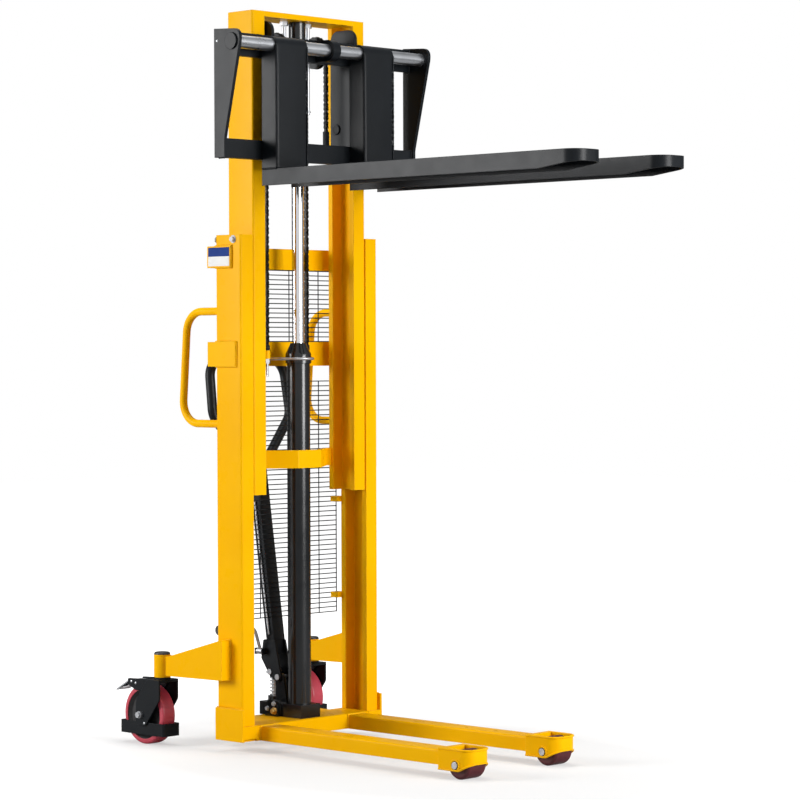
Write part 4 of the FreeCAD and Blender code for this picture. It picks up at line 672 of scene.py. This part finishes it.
strap_low, strap_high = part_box("middle_strap")
half_width = guard_high.y
rim_upright = half_width - wire / 2
for name, low, high in (
    ("mesh_guard_lower", guard_low.z, strap_low.z - PANEL_GAP),
    ("mesh_guard_upper", strap_high.z, guard_high.z),
):
    seed = bpy.data.meshes.new(name + "_seed")
    seed.from_pydata([(0, y, 0) for y in (-rim_upright, *INNER_UPRIGHTS, rim_upright)], [], [])
    piece = panel.grow(name, seed, "chassis", "black_paint", width=2 * half_width, height=high - low)
    middle = ((guard_low.x + guard_high.x) / 2, 0, (low + high) / 2)
    piece.data.transform(Matrix.Translation(middle))
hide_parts("mesh_guard")

# %% [markdown]
# ## Lift chains
# A leaf chain is a stack of figure-eight plates on pins. Two kinds of link take turns along the run: a
# pair of outer plates, then the inner ones. An Array on a curve would bend the plates, so the tree cuts
# the path into pitches, points each stiff link along it and places the two kinds by even and odd number.

# %% Link shapes
LINK_PITCH = 0.0127
EYE_HALF_WIDTH = 0.0058
EYE_HEIGHT = 0.0052
WAIST = 0.0043
EYE_STEPS = 6
PIN_RADIUS = 0.0027
PIN_LENGTH = 0.0108
PIN_SIDES = 10
# each plate's place along the pin and its thickness
OUTER_PLATES = ((-0.0044, 0.0012), (0.0044, 0.0012), (-0.0006, 0.0012))
INNER_PLATES = ((-0.0028, 0.0014), (0.0028, 0.0014), (0.0010, 0.0012))


def link_shape(name, layers):
    """Figure-eight plates at the given y positions and thicknesses, with a pin at one end of the link."""
    work = bmesh.new()
    outline = []
    for end in (1, -1):
        for step in range(EYE_STEPS + 1):
            angle = math.pi * step / EYE_STEPS
            x = EYE_HALF_WIDTH * math.cos(angle) * end
            outline.append((x, end * (LINK_PITCH / 2 + EYE_HEIGHT * math.sin(angle))))
        outline.append((-WAIST * end, 0))
    for y, thick in layers:
        lower = [work.verts.new((x, y - thick / 2, z)) for x, z in outline]
        upper = [work.verts.new((x, y + thick / 2, z)) for x, z in outline]
        work.faces.new(lower)
        work.faces.new(reversed(upper))
        for i in range(len(outline)):
            j = (i + 1) % len(outline)
            work.faces.new((lower[j], lower[i], upper[i], upper[j]))
    pin = bmesh.ops.create_cone(
        work, cap_ends=True, segments=PIN_SIDES, radius1=PIN_RADIUS, radius2=PIN_RADIUS, depth=PIN_LENGTH
    )
    across = Matrix.Translation((0, 0, LINK_PITCH / 2)) @ Matrix.Rotation(math.pi / 2, 4, "X")
    bmesh.ops.transform(work, matrix=across, verts=pin["verts"])
    bmesh.ops.recalc_face_normals(work, faces=work.faces)
    mesh = bpy.data.meshes.new(name)
    work.to_mesh(mesh)
    work.free()
    return bpy.data.objects.new(name, mesh)


outer_link = link_shape("outer_link", OUTER_PLATES)
inner_link = link_shape("inner_link", INNER_PLATES)
print("faces in a link:", len(outer_link.data.polygons), len(inner_link.data.polygons))

# %% Chain tree
chain = Tree("leaf_chain", {"Pitch": LINK_PITCH})
cut = chain.node(
    "GeometryNodeCurveToPoints", {"Curve": chain.path(), "Length": chain.inputs["Pitch"]}, mode="LENGTH"
)
along = chain.node(
    "FunctionNodeAlignRotationToVector", {"Vector": cut.outputs["Tangent"]}, axis="Z", pivot_axis="Y"
)
number = chain.node("GeometryNodeInputIndex").outputs[0]
odd = chain.math("MODULO", number, 2.0)
links = []
for shape, pick in ((outer_link, odd), (inner_link, chain.math("SUBTRACT", 1.0, odd))):
    plates = chain.node("GeometryNodeObjectInfo", {"Object": shape}).outputs["Geometry"]
    laid = chain.node(
        "GeometryNodeInstanceOnPoints",
        {
            "Points": cut.outputs["Points"],
            "Selection": pick,
            "Instance": plates,
            "Rotation": along.outputs[0],
        },
    )
    links.append(laid.outputs[0])
chain.finish(chain.join(*links), finishes["chain_steel"], smooth=False)
print("chain pitch %.1f mm" % (LINK_PITCH * 1000))

# %% [markdown]
# The rear strands stay on their anchors while the wheels come down, and here they ride on the chassis.
# The links over the wheels ride on the crosshead.

# %% Rear strands and the links over the wheels
STRAND_HALF_WIDTH = 0.005
END_GAP = 0.006
WRAP_STEPS = 48

wheel_low, wheel_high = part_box("chain_wheels")
rear_low, rear_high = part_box("chain_rear")
front_low, front_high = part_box("chain_front")
wheel_x = (wheel_low.x + wheel_high.x) / 2
wheel_z = (wheel_low.z + wheel_high.z) / 2
rear_x = (rear_low.x + rear_high.x) / 2
front_x = (front_low.x + front_high.x) / 2
anchor_z, clevis_z = rear_low.z, front_low.z
pitch_radius = (front_x - rear_x) / 2
chain_y = rear_high.y - STRAND_HALF_WIDTH
sides = (-chain_y, chain_y)


def strands(x, low):
    """Both strands from just above an end up to the wheels' axle."""
    return [[(x, y, low + END_GAP), (x, y, wheel_z)] for y in sides]


turns = [math.pi * i / WRAP_STEPS for i in range(WRAP_STEPS + 1)]
arc = [(wheel_x - pitch_radius * math.cos(a), wheel_z + pitch_radius * math.sin(a)) for a in turns]
wraps = [[(x, y, z) for x, z in arc] for y in sides]
rear_path = polyline("chain_rear", *strands(rear_x, anchor_z))
rear_links = chain.grow("chain_rear_links", rear_path, "chassis", "chain_steel")
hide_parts("chain_rear")
wrap_links = chain.grow("chain_wrap_links", polyline("chain_wrap", *wraps), "crosshead", "chain_steel")
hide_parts("chain_wrap")
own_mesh(rear_links)

# %% [markdown]
# The front strands pay out as the carriage comes down, and the wheels travel a little further than the
# inner mast. Here the strands run from the carriage's clevis up to the wheels' axle and stand where they
# are laid, on no body.

front_path = polyline("chain_front", *strands(front_x, clevis_z))
front_links = chain.grow("chain_front_links", front_path, None, "chain_steel")
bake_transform(front_links)
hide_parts("chain_front")

# %% [markdown]
# ## Pump spring
# The return spring stands round the plunger. One round wire on a helix, with a half turn lying flat at each
# end so that it sits square. A Screw modifier can't flatten the ends, so it is a curve with a bevel, turned
# into a mesh, and it rides on the chassis.

# %% Pump spring
SPRING_WIRE = 0.004
SPRING_TURNS = 6
TURN_STEPS = 24
FLAT_TURNS = 0.5

spring_low, spring_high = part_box("pump_spring")
coil_radius = (spring_high.x - spring_low.x - SPRING_WIRE) / 2
centre = (spring_low + spring_high) / 2
bottom, top = spring_low.z + SPRING_WIRE / 2, spring_high.z - SPRING_WIRE / 2
curve = bpy.data.curves.new("pump_spring_wire", "CURVE")
curve.dimensions = "3D"
curve.bevel_depth = SPRING_WIRE / 2
curve.bevel_resolution = 3
curve.use_fill_caps = True
line = curve.splines.new("POLY")
line.points.add(SPRING_TURNS * TURN_STEPS)
for i, point in enumerate(line.points):
    turned = i / TURN_STEPS
    share = min(max((turned - FLAT_TURNS) / (SPRING_TURNS - 2 * FLAT_TURNS), 0), 1)
    angle = 2 * math.pi * turned
    x = centre.x + coil_radius * math.cos(angle)
    y = centre.y + coil_radius * math.sin(angle)
    point.co = (x, y, bottom + (top - bottom) * share, 1)
mesh = plain_mesh(bpy.data.objects.new("pump_spring_curve", curve))
for face in mesh.polygons:
    face.use_smooth = True
spring = settle("pump_spring_wire", mesh, "chassis", "bright_steel", finishes["bright_steel"])
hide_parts("pump_spring")
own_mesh(spring)
print("spring faces", len(mesh.polygons))

# %% [markdown]
# ## Weld beads
# The stacker is a weldment, and its beads are painted over with the rest. Bump in the paint would hint at
# them, but only real drops break the line between two plates. A bead is a row of overlapping drops, each a
# little different in size, and seams are given as lines of points where two plates meet.

# %% Weld tree
BEAD_RADIUS = 0.0034
BEAD_STEP = 0.0034
BEAD_LEAST, BEAD_MOST = 0.85, 1.12
BEAD_SEED = 11


def weld_tree(name, finish):
    weld = Tree(name, {"Bead": BEAD_RADIUS, "Step": BEAD_STEP})
    size = weld.inputs
    drops = weld.node(
        "GeometryNodeCurveToPoints", {"Curve": weld.path(), "Length": size["Step"]}, mode="LENGTH"
    )
    drop = weld.node("GeometryNodeMeshIcoSphere", {"Radius": size["Bead"], "Subdivisions": 1})
    vary = weld.node("FunctionNodeRandomValue", {"Seed": BEAD_SEED}, data_type="FLOAT")
    vary.inputs[2].default_value = BEAD_LEAST
    vary.inputs[3].default_value = BEAD_MOST
    laid = weld.node(
        "GeometryNodeInstanceOnPoints",
        {"Points": drops.outputs["Points"], "Instance": drop.outputs[0], "Scale": vary.outputs[1]},
    )
    weld.finish(laid.outputs[0], finish)
    return weld


yellow_weld = weld_tree("yellow_weld", finishes["yellow_paint"])
black_weld = weld_tree("black_weld", finishes["black_paint"])
print("weld trees ready")

# %% Seams of the chassis
POST_FACE = 269.5
POST_REAR = -101
# front end, lower and upper edge of the two straps on the post's side
STRAPS = ((-18, 1077, 1146), (-35, 1353, 1413))
SHOE_TOP = 123
ARM_SEAM = ((POST_REAR, 202), (-48, 203), (-48, 316), (POST_REAR, 302.5))
HANDLE_FOOT_X, HANDLE_FOOT_Y = -103, 245
HANDLE_FEET = (1232, 916)
HANDLE_FOOT_RADIUS = 0.0122
LEG_EDGES = (138, 206)
LEG_ENDS = (7, 700)
LEG_SEAM_LOW, LEG_SEAM_HIGH, LEG_TOP = 36, 72, 73


def ring(middle, radius, steps=20):
    """Points round a tube that stands on a face looking along X."""
    angles = [2 * math.pi * i / steps for i in range(steps + 1)]
    return [middle + Vector((0, radius * math.cos(a), radius * math.sin(a))) for a in angles]


seams = []
for side in (-1, 1):
    y = side * POST_FACE
    for front, low, high in STRAPS:
        seams.append([at(POST_REAR, y, low), at(front, y, low), at(front, y, high), at(POST_REAR, y, high)])
    seams.append([at(POST_REAR, y, SHOE_TOP), at(0, y, SHOE_TOP)])
    seams.append([at(x, y, z) for x, z in ARM_SEAM])
    for z in HANDLE_FEET:
        seams.append(ring(at(HANDLE_FOOT_X, side * HANDLE_FOOT_Y, z), HANDLE_FOOT_RADIUS))
    for x in LEG_ENDS:
        for edge in LEG_EDGES:
            seams.append([at(x, side * edge, z) for z in (LEG_SEAM_LOW, LEG_SEAM_HIGH)])
        seams.append([at(x, side * edge, LEG_TOP) for edge in LEG_EDGES])
yellow_weld.grow("chassis_welds", polyline("chassis_seams", *seams), "chassis", "yellow_paint")

# %% Seams of the forks and the carriage
FORK_Y = 171
BLADE_TOP = 1623
HEEL_X, HEEL_HALF = 108, 56
HEEL_SIDE = (50, 104)
SHANK_X, SHANK_HALF = 107, 58
SHANK_ENDS = (1628, 1962)
SIDE_PLATE_Y = 366
PLATE_REAR = 23
# front face, lower and upper edge
LOWER_BAR = (46.5, 1649, 1702)
UPPER_BAR = (39, 1931, 1995)
ROLLER_PLATE_FACES = (158, 168)

fork_seams = [[at(HEEL_X, y, BLADE_TOP) for y in (-HEEL_HALF, HEEL_HALF)]]
for y in (-SHANK_HALF, SHANK_HALF):
    fork_seams.append([at(x, y, BLADE_TOP) for x in HEEL_SIDE])
    fork_seams.append([at(SHANK_X, y, z) for z in SHANK_ENDS])
for name, side in (("fork_left", 1), ("fork_right", -1)):
    aside = Vector((0, side * FORK_Y / 1000, 0))
    paths = [[point + aside for point in path] for path in fork_seams]
    black_weld.grow(name + "_welds", polyline(name + "_seams", *paths), name, "black_paint")

seams = []
for side in (-1, 1):
    for front, low, high in (LOWER_BAR, UPPER_BAR):
        corners = ((PLATE_REAR, high), (front, high), (front, low), (PLATE_REAR, low))
        seams.append([at(x, side * SIDE_PLATE_Y, z) for x, z in corners])
    for y in ROLLER_PLATE_FACES:
        seams.append([at(PLATE_REAR, side * y, z) for z in UPPER_BAR[1:]])
black_weld.grow("carriage_welds", polyline("carriage_seams", *seams), "carriage", "black_paint")

# %% [markdown]
# ## Cast rims of the leg ends
# The roller housings are castings. A round lip runs along their top edge and their sill, and a raised ring
# stands round each axle bolt. One tree gives any line of points a round section.

# %% Cast rims
LEG_Y = 172
HOUSING_REAR, HOUSING_FRONT = 701, 808
HOUSING_HALF = 46
NOSE = 32
NOSE_STEPS = 8
LIP_HEIGHT = 79
SILL_LOW, SILL_RISE, SILL_BREAK = 25.5, 18, 773
AXLE_X, AXLE_Z = 761, 39
BOSS_RADIUS = 14
BOSS_STEPS = 24

rim = Tree("round_lip", {"Lip": 0.0030})
section = rim.node(
    "GeometryNodeCurvePrimitiveCircle", {"Resolution": 10, "Radius": rim.inputs["Lip"]}, mode="RADIUS"
)
swept = rim.node(
    "GeometryNodeCurveToMesh",
    {"Curve": rim.path(), "Profile Curve": section.outputs[0], "Fill Caps": True},
)
rim.finish(swept.outputs[0], finishes["yellow_paint"])


def housing_edge(height, breaks=()):
    """Outline of one housing from its right rear corner round the nose to the left one."""
    points = [(x, -HOUSING_HALF) for x in (HOUSING_REAR, *breaks)]
    for middle_y, start in ((-HOUSING_HALF + NOSE, -90), (HOUSING_HALF - NOSE, 0)):
        for i in range(NOSE_STEPS + 1):
            angle = math.radians(start + 90 * i / NOSE_STEPS)
            x = HOUSING_FRONT - NOSE + NOSE * math.cos(angle)
            points.append((x, middle_y + NOSE * math.sin(angle)))
    points += [(x, HOUSING_HALF) for x in (*breaks, HOUSING_REAR)]
    return [(x, y, height(x)) for x, y in points]


def sill_height(x):
    return SILL_LOW + SILL_RISE * max(0, (x - SILL_BREAK) / (HOUSING_FRONT - SILL_BREAK))


turns = [2 * math.pi * i / BOSS_STEPS for i in range(BOSS_STEPS + 1)]
boss = [(AXLE_X + BOSS_RADIUS * math.cos(a), AXLE_Z + BOSS_RADIUS * math.sin(a)) for a in turns]
lips = []
for y in (-LEG_Y, LEG_Y):
    for path in (housing_edge(lambda x: LIP_HEIGHT), housing_edge(sill_height, [SILL_BREAK])):
        lips.append([at(x, y + off, z) for x, off, z in path])
    for off in (-HOUSING_HALF, HOUSING_HALF):
        lips.append([at(x, y + off, z) for x, z in boss])
rim.grow("leg_end_lips", polyline("leg_end_lines", *lips), "chassis", "yellow_paint")

# %% [markdown]
# ## Brake pedals
# Each caster's brake is worked by a tongue of sheet steel that hangs between the rear ears of the yoke and
# is bent so that a boot finds it. A strip of faces laid along the bent line, smoothed and then given its
# thickness, keeps the sheet even round the bends. The straight lever's skin, with its pin, lies beside it.

# %% Brake pedals
PEDAL_REACH = 172
PEDAL_SHEET = 0.0034
PEDAL_SHARES = (-1, -0.5, 0, 0.5, 1)
PEDAL_CREASE = math.radians(40)
# x from the kingpin, height and half width, in millimetres
PEDAL_LINE = (
    (-94, 177, 24),
    (-105, 176.5, 24),
    (-113, 171, 24),
    (-118, 163, 23),
    (-127, 158.5, 22),
    (-142, 156.5, 21),
    (-158, 153.5, 20),
    (-171.2, 148.5, 17),
)


def pedal_sheet(node):
    low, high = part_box(node)
    middle = (low.y + high.y) / 2
    work = bmesh.new()
    rows = []
    for x, z, half in PEDAL_LINE:
        along = low.x + (PEDAL_REACH + x) / 1000
        across = [middle + half * share / 1000 for share in PEDAL_SHARES]
        rows.append([work.verts.new((along, y, z / 1000)) for y in across])
    for one, two in zip(rows, rows[1:]):
        for k in range(len(PEDAL_SHARES) - 1):
            work.faces.new((one[k], two[k], two[k + 1], one[k + 1]))
    strip = bpy.data.meshes.new("pedal_strip")
    work.to_mesh(strip)
    work.free()
    holder = bpy.data.objects.new("pedal_strip", strip)
    smooth = holder.modifiers.new("smooth", "SUBSURF")
    smooth.levels = smooth.render_levels = 2
    wall = holder.modifiers.new("wall", "SOLIDIFY")
    wall.thickness = PEDAL_SHEET
    wall.offset = 0
    sheet = plain_mesh(holder)
    for face in sheet.polygons:
        face.use_smooth = True
    sheet.set_sharp_from_angle(angle=PEDAL_CREASE)
    return sheet


for side in ("left", "right"):
    node = f"brake_pedal_{side}"
    sheet = pedal_sheet(node)
    tongue = settle(f"brake_tongue_{side}", sheet, f"brake_{side}", "bright_steel", dull_zinc)
    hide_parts(node)
print("pedal faces", len(sheet.polygons))

# %% [markdown]
# ## Hex heads, nuts and rivets
# Standard fasteners stay with the scene. One tree makes a hex head with its washer and lays it on every
# point; the seed mesh carries a direction for each, so one tree serves bolts that face any way.

# %% Hex head tree
WASHER_SHEET = 0.0016


def lay_facing(tree, shape):
    """A shape on every point of the seed mesh, turned the way that the point faces."""
    facing = tree.node("GeometryNodeInputNamedAttribute", {"Name": "facing"}, data_type="FLOAT_VECTOR")
    turned = tree.node("FunctionNodeAlignRotationToVector", {"Vector": facing.outputs[0]}, axis="Z")
    laid = tree.node(
        "GeometryNodeInstanceOnPoints",
        {"Points": tree.inputs["Geometry"], "Instance": shape, "Rotation": turned.outputs[0]},
    )
    return laid.outputs[0]


def places(name, *spots):
    """Points with the way each fastener faces."""
    mesh = bpy.data.meshes.new(name)
    mesh.from_pydata([tuple(p) for p, _ in spots], [], [])
    facing = mesh.attributes.new("facing", "FLOAT_VECTOR", "POINT")
    facing.data.foreach_set("vector", [c for _, way in spots for c in way])
    return mesh


bolt = Tree("hex_head", {"Across": 0.017, "Height": 0.007, "Washer": 0.022})
size = bolt.inputs
head = bolt.cylinder(6, bolt.math("DIVIDE", size["Across"], math.sqrt(3)), size["Height"])
head_middle = bolt.math("ADD", bolt.math("MULTIPLY", size["Height"], 0.5), WASHER_SHEET)
lifted = {"Geometry": head, "Translation": bolt.height(head_middle)}
raised = bolt.node("GeometryNodeTransform", lifted)
washer = bolt.cylinder(24, bolt.math("MULTIPLY", size["Washer"], 0.5), WASHER_SHEET)
seat = bolt.node("GeometryNodeTransform", {"Geometry": washer, "Translation": (0, 0, WASHER_SHEET / 2)})
hex_head = bolt.join(raised.outputs[0], seat.outputs[0])
bolt.finish(lay_facing(bolt, hex_head), finishes["bright_steel"], smooth=False)
print("hex head tree ready")

# %% Hex heads
SCREW_Z = 1431
SIDE_SCREW_X, SIDE_SCREW_Y = -30, 268
REAR_SCREW_X, REAR_SCREW_Y = -103, 258
BLOCK_FACE = -50
BLOCK_BOLTS = ((-104, 112), (-131, 97))
CASTER_AXLE_X, CASTER_AXLE_Z = -361, 85
YOKE_FACE = 42.5
CASTER_Y = 294.5
CASTERS = (("left", CASTER_Y), ("right", -CASTER_Y))

spots = [(at(SIDE_SCREW_X, side * SIDE_SCREW_Y, SCREW_Z), (0, side, 0)) for side in (-1, 1)]
spots += [(at(REAR_SCREW_X, side * REAR_SCREW_Y, SCREW_Z), (-1, 0, 0)) for side in (-1, 1)]
screw_places = places("screw_places", *spots)
screws = bolt.grow("adjusting_screw_heads", screw_places, "chassis", "bright_steel", across=0.013)
for index in range(len(screws.data.materials)):
    screws.data.materials[index] = dull_zinc
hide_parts("adjusting_screws")
spots = [(at(x, BLOCK_FACE, z), (0, -1, 0)) for x, z in BLOCK_BOLTS]
block_places = places("block_places", *spots)
block_bolt = {"across": 0.010, "height": 0.004, "washer": 0.014}
bolt.grow("pump_block_bolts", block_places, "chassis", "bright_steel", **block_bolt)
axle_nut = {"across": 0.015, "height": 0.005, "washer": 0.019}
for side, y in CASTERS:
    spots = []
    for way in (-1, 1):
        spots.append((at(CASTER_AXLE_X, y + way * YOKE_FACE, CASTER_AXLE_Z), (0, way, 0)))
    nut_places = places("nut_places", *spots)
    bolt.grow(f"caster_nuts_{side}", nut_places, f"caster_{side}", "bright_steel", **axle_nut)

# %% [markdown]
# Rivets are the same idea with a low dome in place of the hexagon.

# %% Rivets
DOME = {"Segments": 16, "Rings": 8}
DOME_HEIGHT = 0.55
# x, distance from the middle of the yoke, and height
YOKE_RIVETS = ((-407, 29.5, 176.5), (-389, 29.5, 173), (-344, 36.5, 62))
PLATE_RIVET_X, PLATE_RIVET_Y, PLATE_RIVET_Z = 26, 376, 1967

rivet = Tree("dome_rivet", {"Radius": 0.004})
dome = rivet.node("GeometryNodeMeshUVSphere", {**DOME, "Radius": rivet.inputs["Radius"]})
low_dome = rivet.node(
    "GeometryNodeTransform", {"Geometry": dome.outputs[0], "Scale": (1, 1, DOME_HEIGHT)}
)
rivet.finish(lay_facing(rivet, low_dome.outputs[0]), finishes["bright_steel"])
for side, y in CASTERS:
    spots = []
    for way in (-1, 1):
        for x, off, z in YOKE_RIVETS:
            spots.append((at(x, y + way * off, z), (0, way, 0)))
    rivet_places = places("rivet_places", *spots)
    rivet.grow(f"caster_rivets_{side}", rivet_places, f"caster_{side}", "bright_steel")
spots = [(at(PLATE_RIVET_X, way * PLATE_RIVET_Y, PLATE_RIVET_Z), (0, way, 0)) for way in (-1, 1)]
rivet.grow("side_plate_rivets", places("rivet_places", *spots), "carriage", "bright_steel")

# %% [markdown]
# ## Small turned pieces
# A brass plug in the valve, dark discs round the axle bolts that are painted shade, and the round heads
# of the roller stubs are each one short profile turned about an axis. They sit on the face that carries
# them.

# %% Plug, painted bolt shade and stub heads
TURNED_CREASE = math.radians(35)
PLUG_PLACE = at(-101, BLOCK_FACE, 92)
STUB_X, STUB_Y = -51.5, 158
STUBS = (("lower", 1758), ("upper", 1990))


def lathe(name, profile, place, axis, body, material, slot=None, segments=28):
    """Turn a (radius, height) profile about an axis through a point."""
    work = bmesh.new()
    angles = [2 * math.pi * i / segments for i in range(segments)]
    rings = []
    for radius, height in profile:
        points = [(radius * math.cos(a), radius * math.sin(a), height) for a in angles]
        rings.append([work.verts.new(point) for point in points])
    for lower, upper in zip(rings, rings[1:]):
        for i in range(segments):
            j = (i + 1) % segments
            work.faces.new((lower[i], lower[j], upper[j], upper[i]))
    work.faces.new(reversed(rings[0]))
    work.faces.new(rings[-1])
    bmesh.ops.recalc_face_normals(work, faces=work.faces)
    for face in work.faces:
        face.smooth = len(face.verts) == 4
    for edge in work.edges:
        edge.smooth = edge.calc_face_angle(0) < TURNED_CREASE
    mesh = bpy.data.meshes.new(name)
    work.to_mesh(mesh)
    work.free()
    upright = Vector(axis).to_track_quat("Z", "Y").to_matrix().to_4x4()
    mesh.transform(Matrix.Translation(place) @ upright)
    settle(name, mesh, body, slot, material)


plug = [(0.011, 0), (0.011, 0.003), (0.008, 0.0035), (0.008, 0.011), (0.007, 0.012)]
lathe("brass_drain_plug", plug, PLUG_PLACE, (0, -1, 0), "chassis", brass, segments=6)
# a thin dark disc round each axle bolt: painted shade
seat = [(0.0125, 0), (0.0125, 0.0009), (0.010, 0.001)]
for leg, y in (("right", -LEG_Y), ("left", LEG_Y)):
    for way in (-1, 1):
        name = "bolt_shade_%s_%s" % (leg, "outer" if way * y > 0 else "inner")
        spot = at(AXLE_X, y + way * HOUSING_HALF, AXLE_Z)
        lathe(name, seat, spot, (0, way, 0), "chassis", finishes["black_plastic"], "black_plastic")
stub = [(0.015, 0), (0.015, 0.003), (0.0135, 0.0045), (0.006, 0.005)]
for post, side in (("right", -1), ("left", 1)):
    for level, z in STUBS:
        name = f"roller_stub_head_{level}_{post}"
        spot = at(STUB_X, side * STUB_Y, z)
        lathe(name, stub, spot, (0, -side, 0), "carriage", finishes["black_paint"], "black_paint")
print("turned pieces done")

# %% [markdown]
# ## Bare plate
# A small bare plate is fixed to the side of the top strap, white with a blue band. Two boxes would leave a
# seam, so it is one thin box cut once where the colours meet.

# %% Bare plate
PLATE_PLACE = at(-83, -274.4, 1383)
PLATE_SIZE = (0.086, 0.0008, 0.052)
BAND_EDGE = at(-83, -274, 1384)
PLATE_SHINE = 0.1

plate_white = moulded("bare_plate", (0.80, 0.80, 0.79), (0.86, 0.86, 0.85), (0.5, 0.6), 0.00001)
plate_blue = moulded("plate_band", (0.004, 0.030, 0.19), (0.006, 0.040, 0.23), (0.5, 0.6), 0.00001)
work = bmesh.new()
plate_box = Matrix.Translation(PLATE_PLACE) @ Matrix.Diagonal((*PLATE_SIZE, 1))
bmesh.ops.create_cube(work, size=1, matrix=plate_box)
whole = work.verts[:] + work.edges[:] + work.faces[:]
bmesh.ops.bisect_plane(work, geom=whole, plane_co=BAND_EDGE, plane_no=(0, 0, 1))
for face in work.faces:
    face.material_index = 1 if face.calc_center_median().z > BAND_EDGE.z else 0
mesh = bpy.data.meshes.new("bare_strap_plate")
work.to_mesh(mesh)
work.free()
for finish in (plate_white, plate_blue):
    finish.node_tree.nodes["Principled BSDF"].inputs["Specular IOR Level"].default_value = PLATE_SHINE
    mesh.materials.append(finish)
settle("bare_strap_plate", mesh, "chassis")
print("plate faces", len(mesh.polygons))

# %% [markdown]
# ## Last update
# The dressed stacker must not outgrow its solids. Here the view layer is only brought up to date once more.

# %% Finish
bpy.context.view_layer.update()
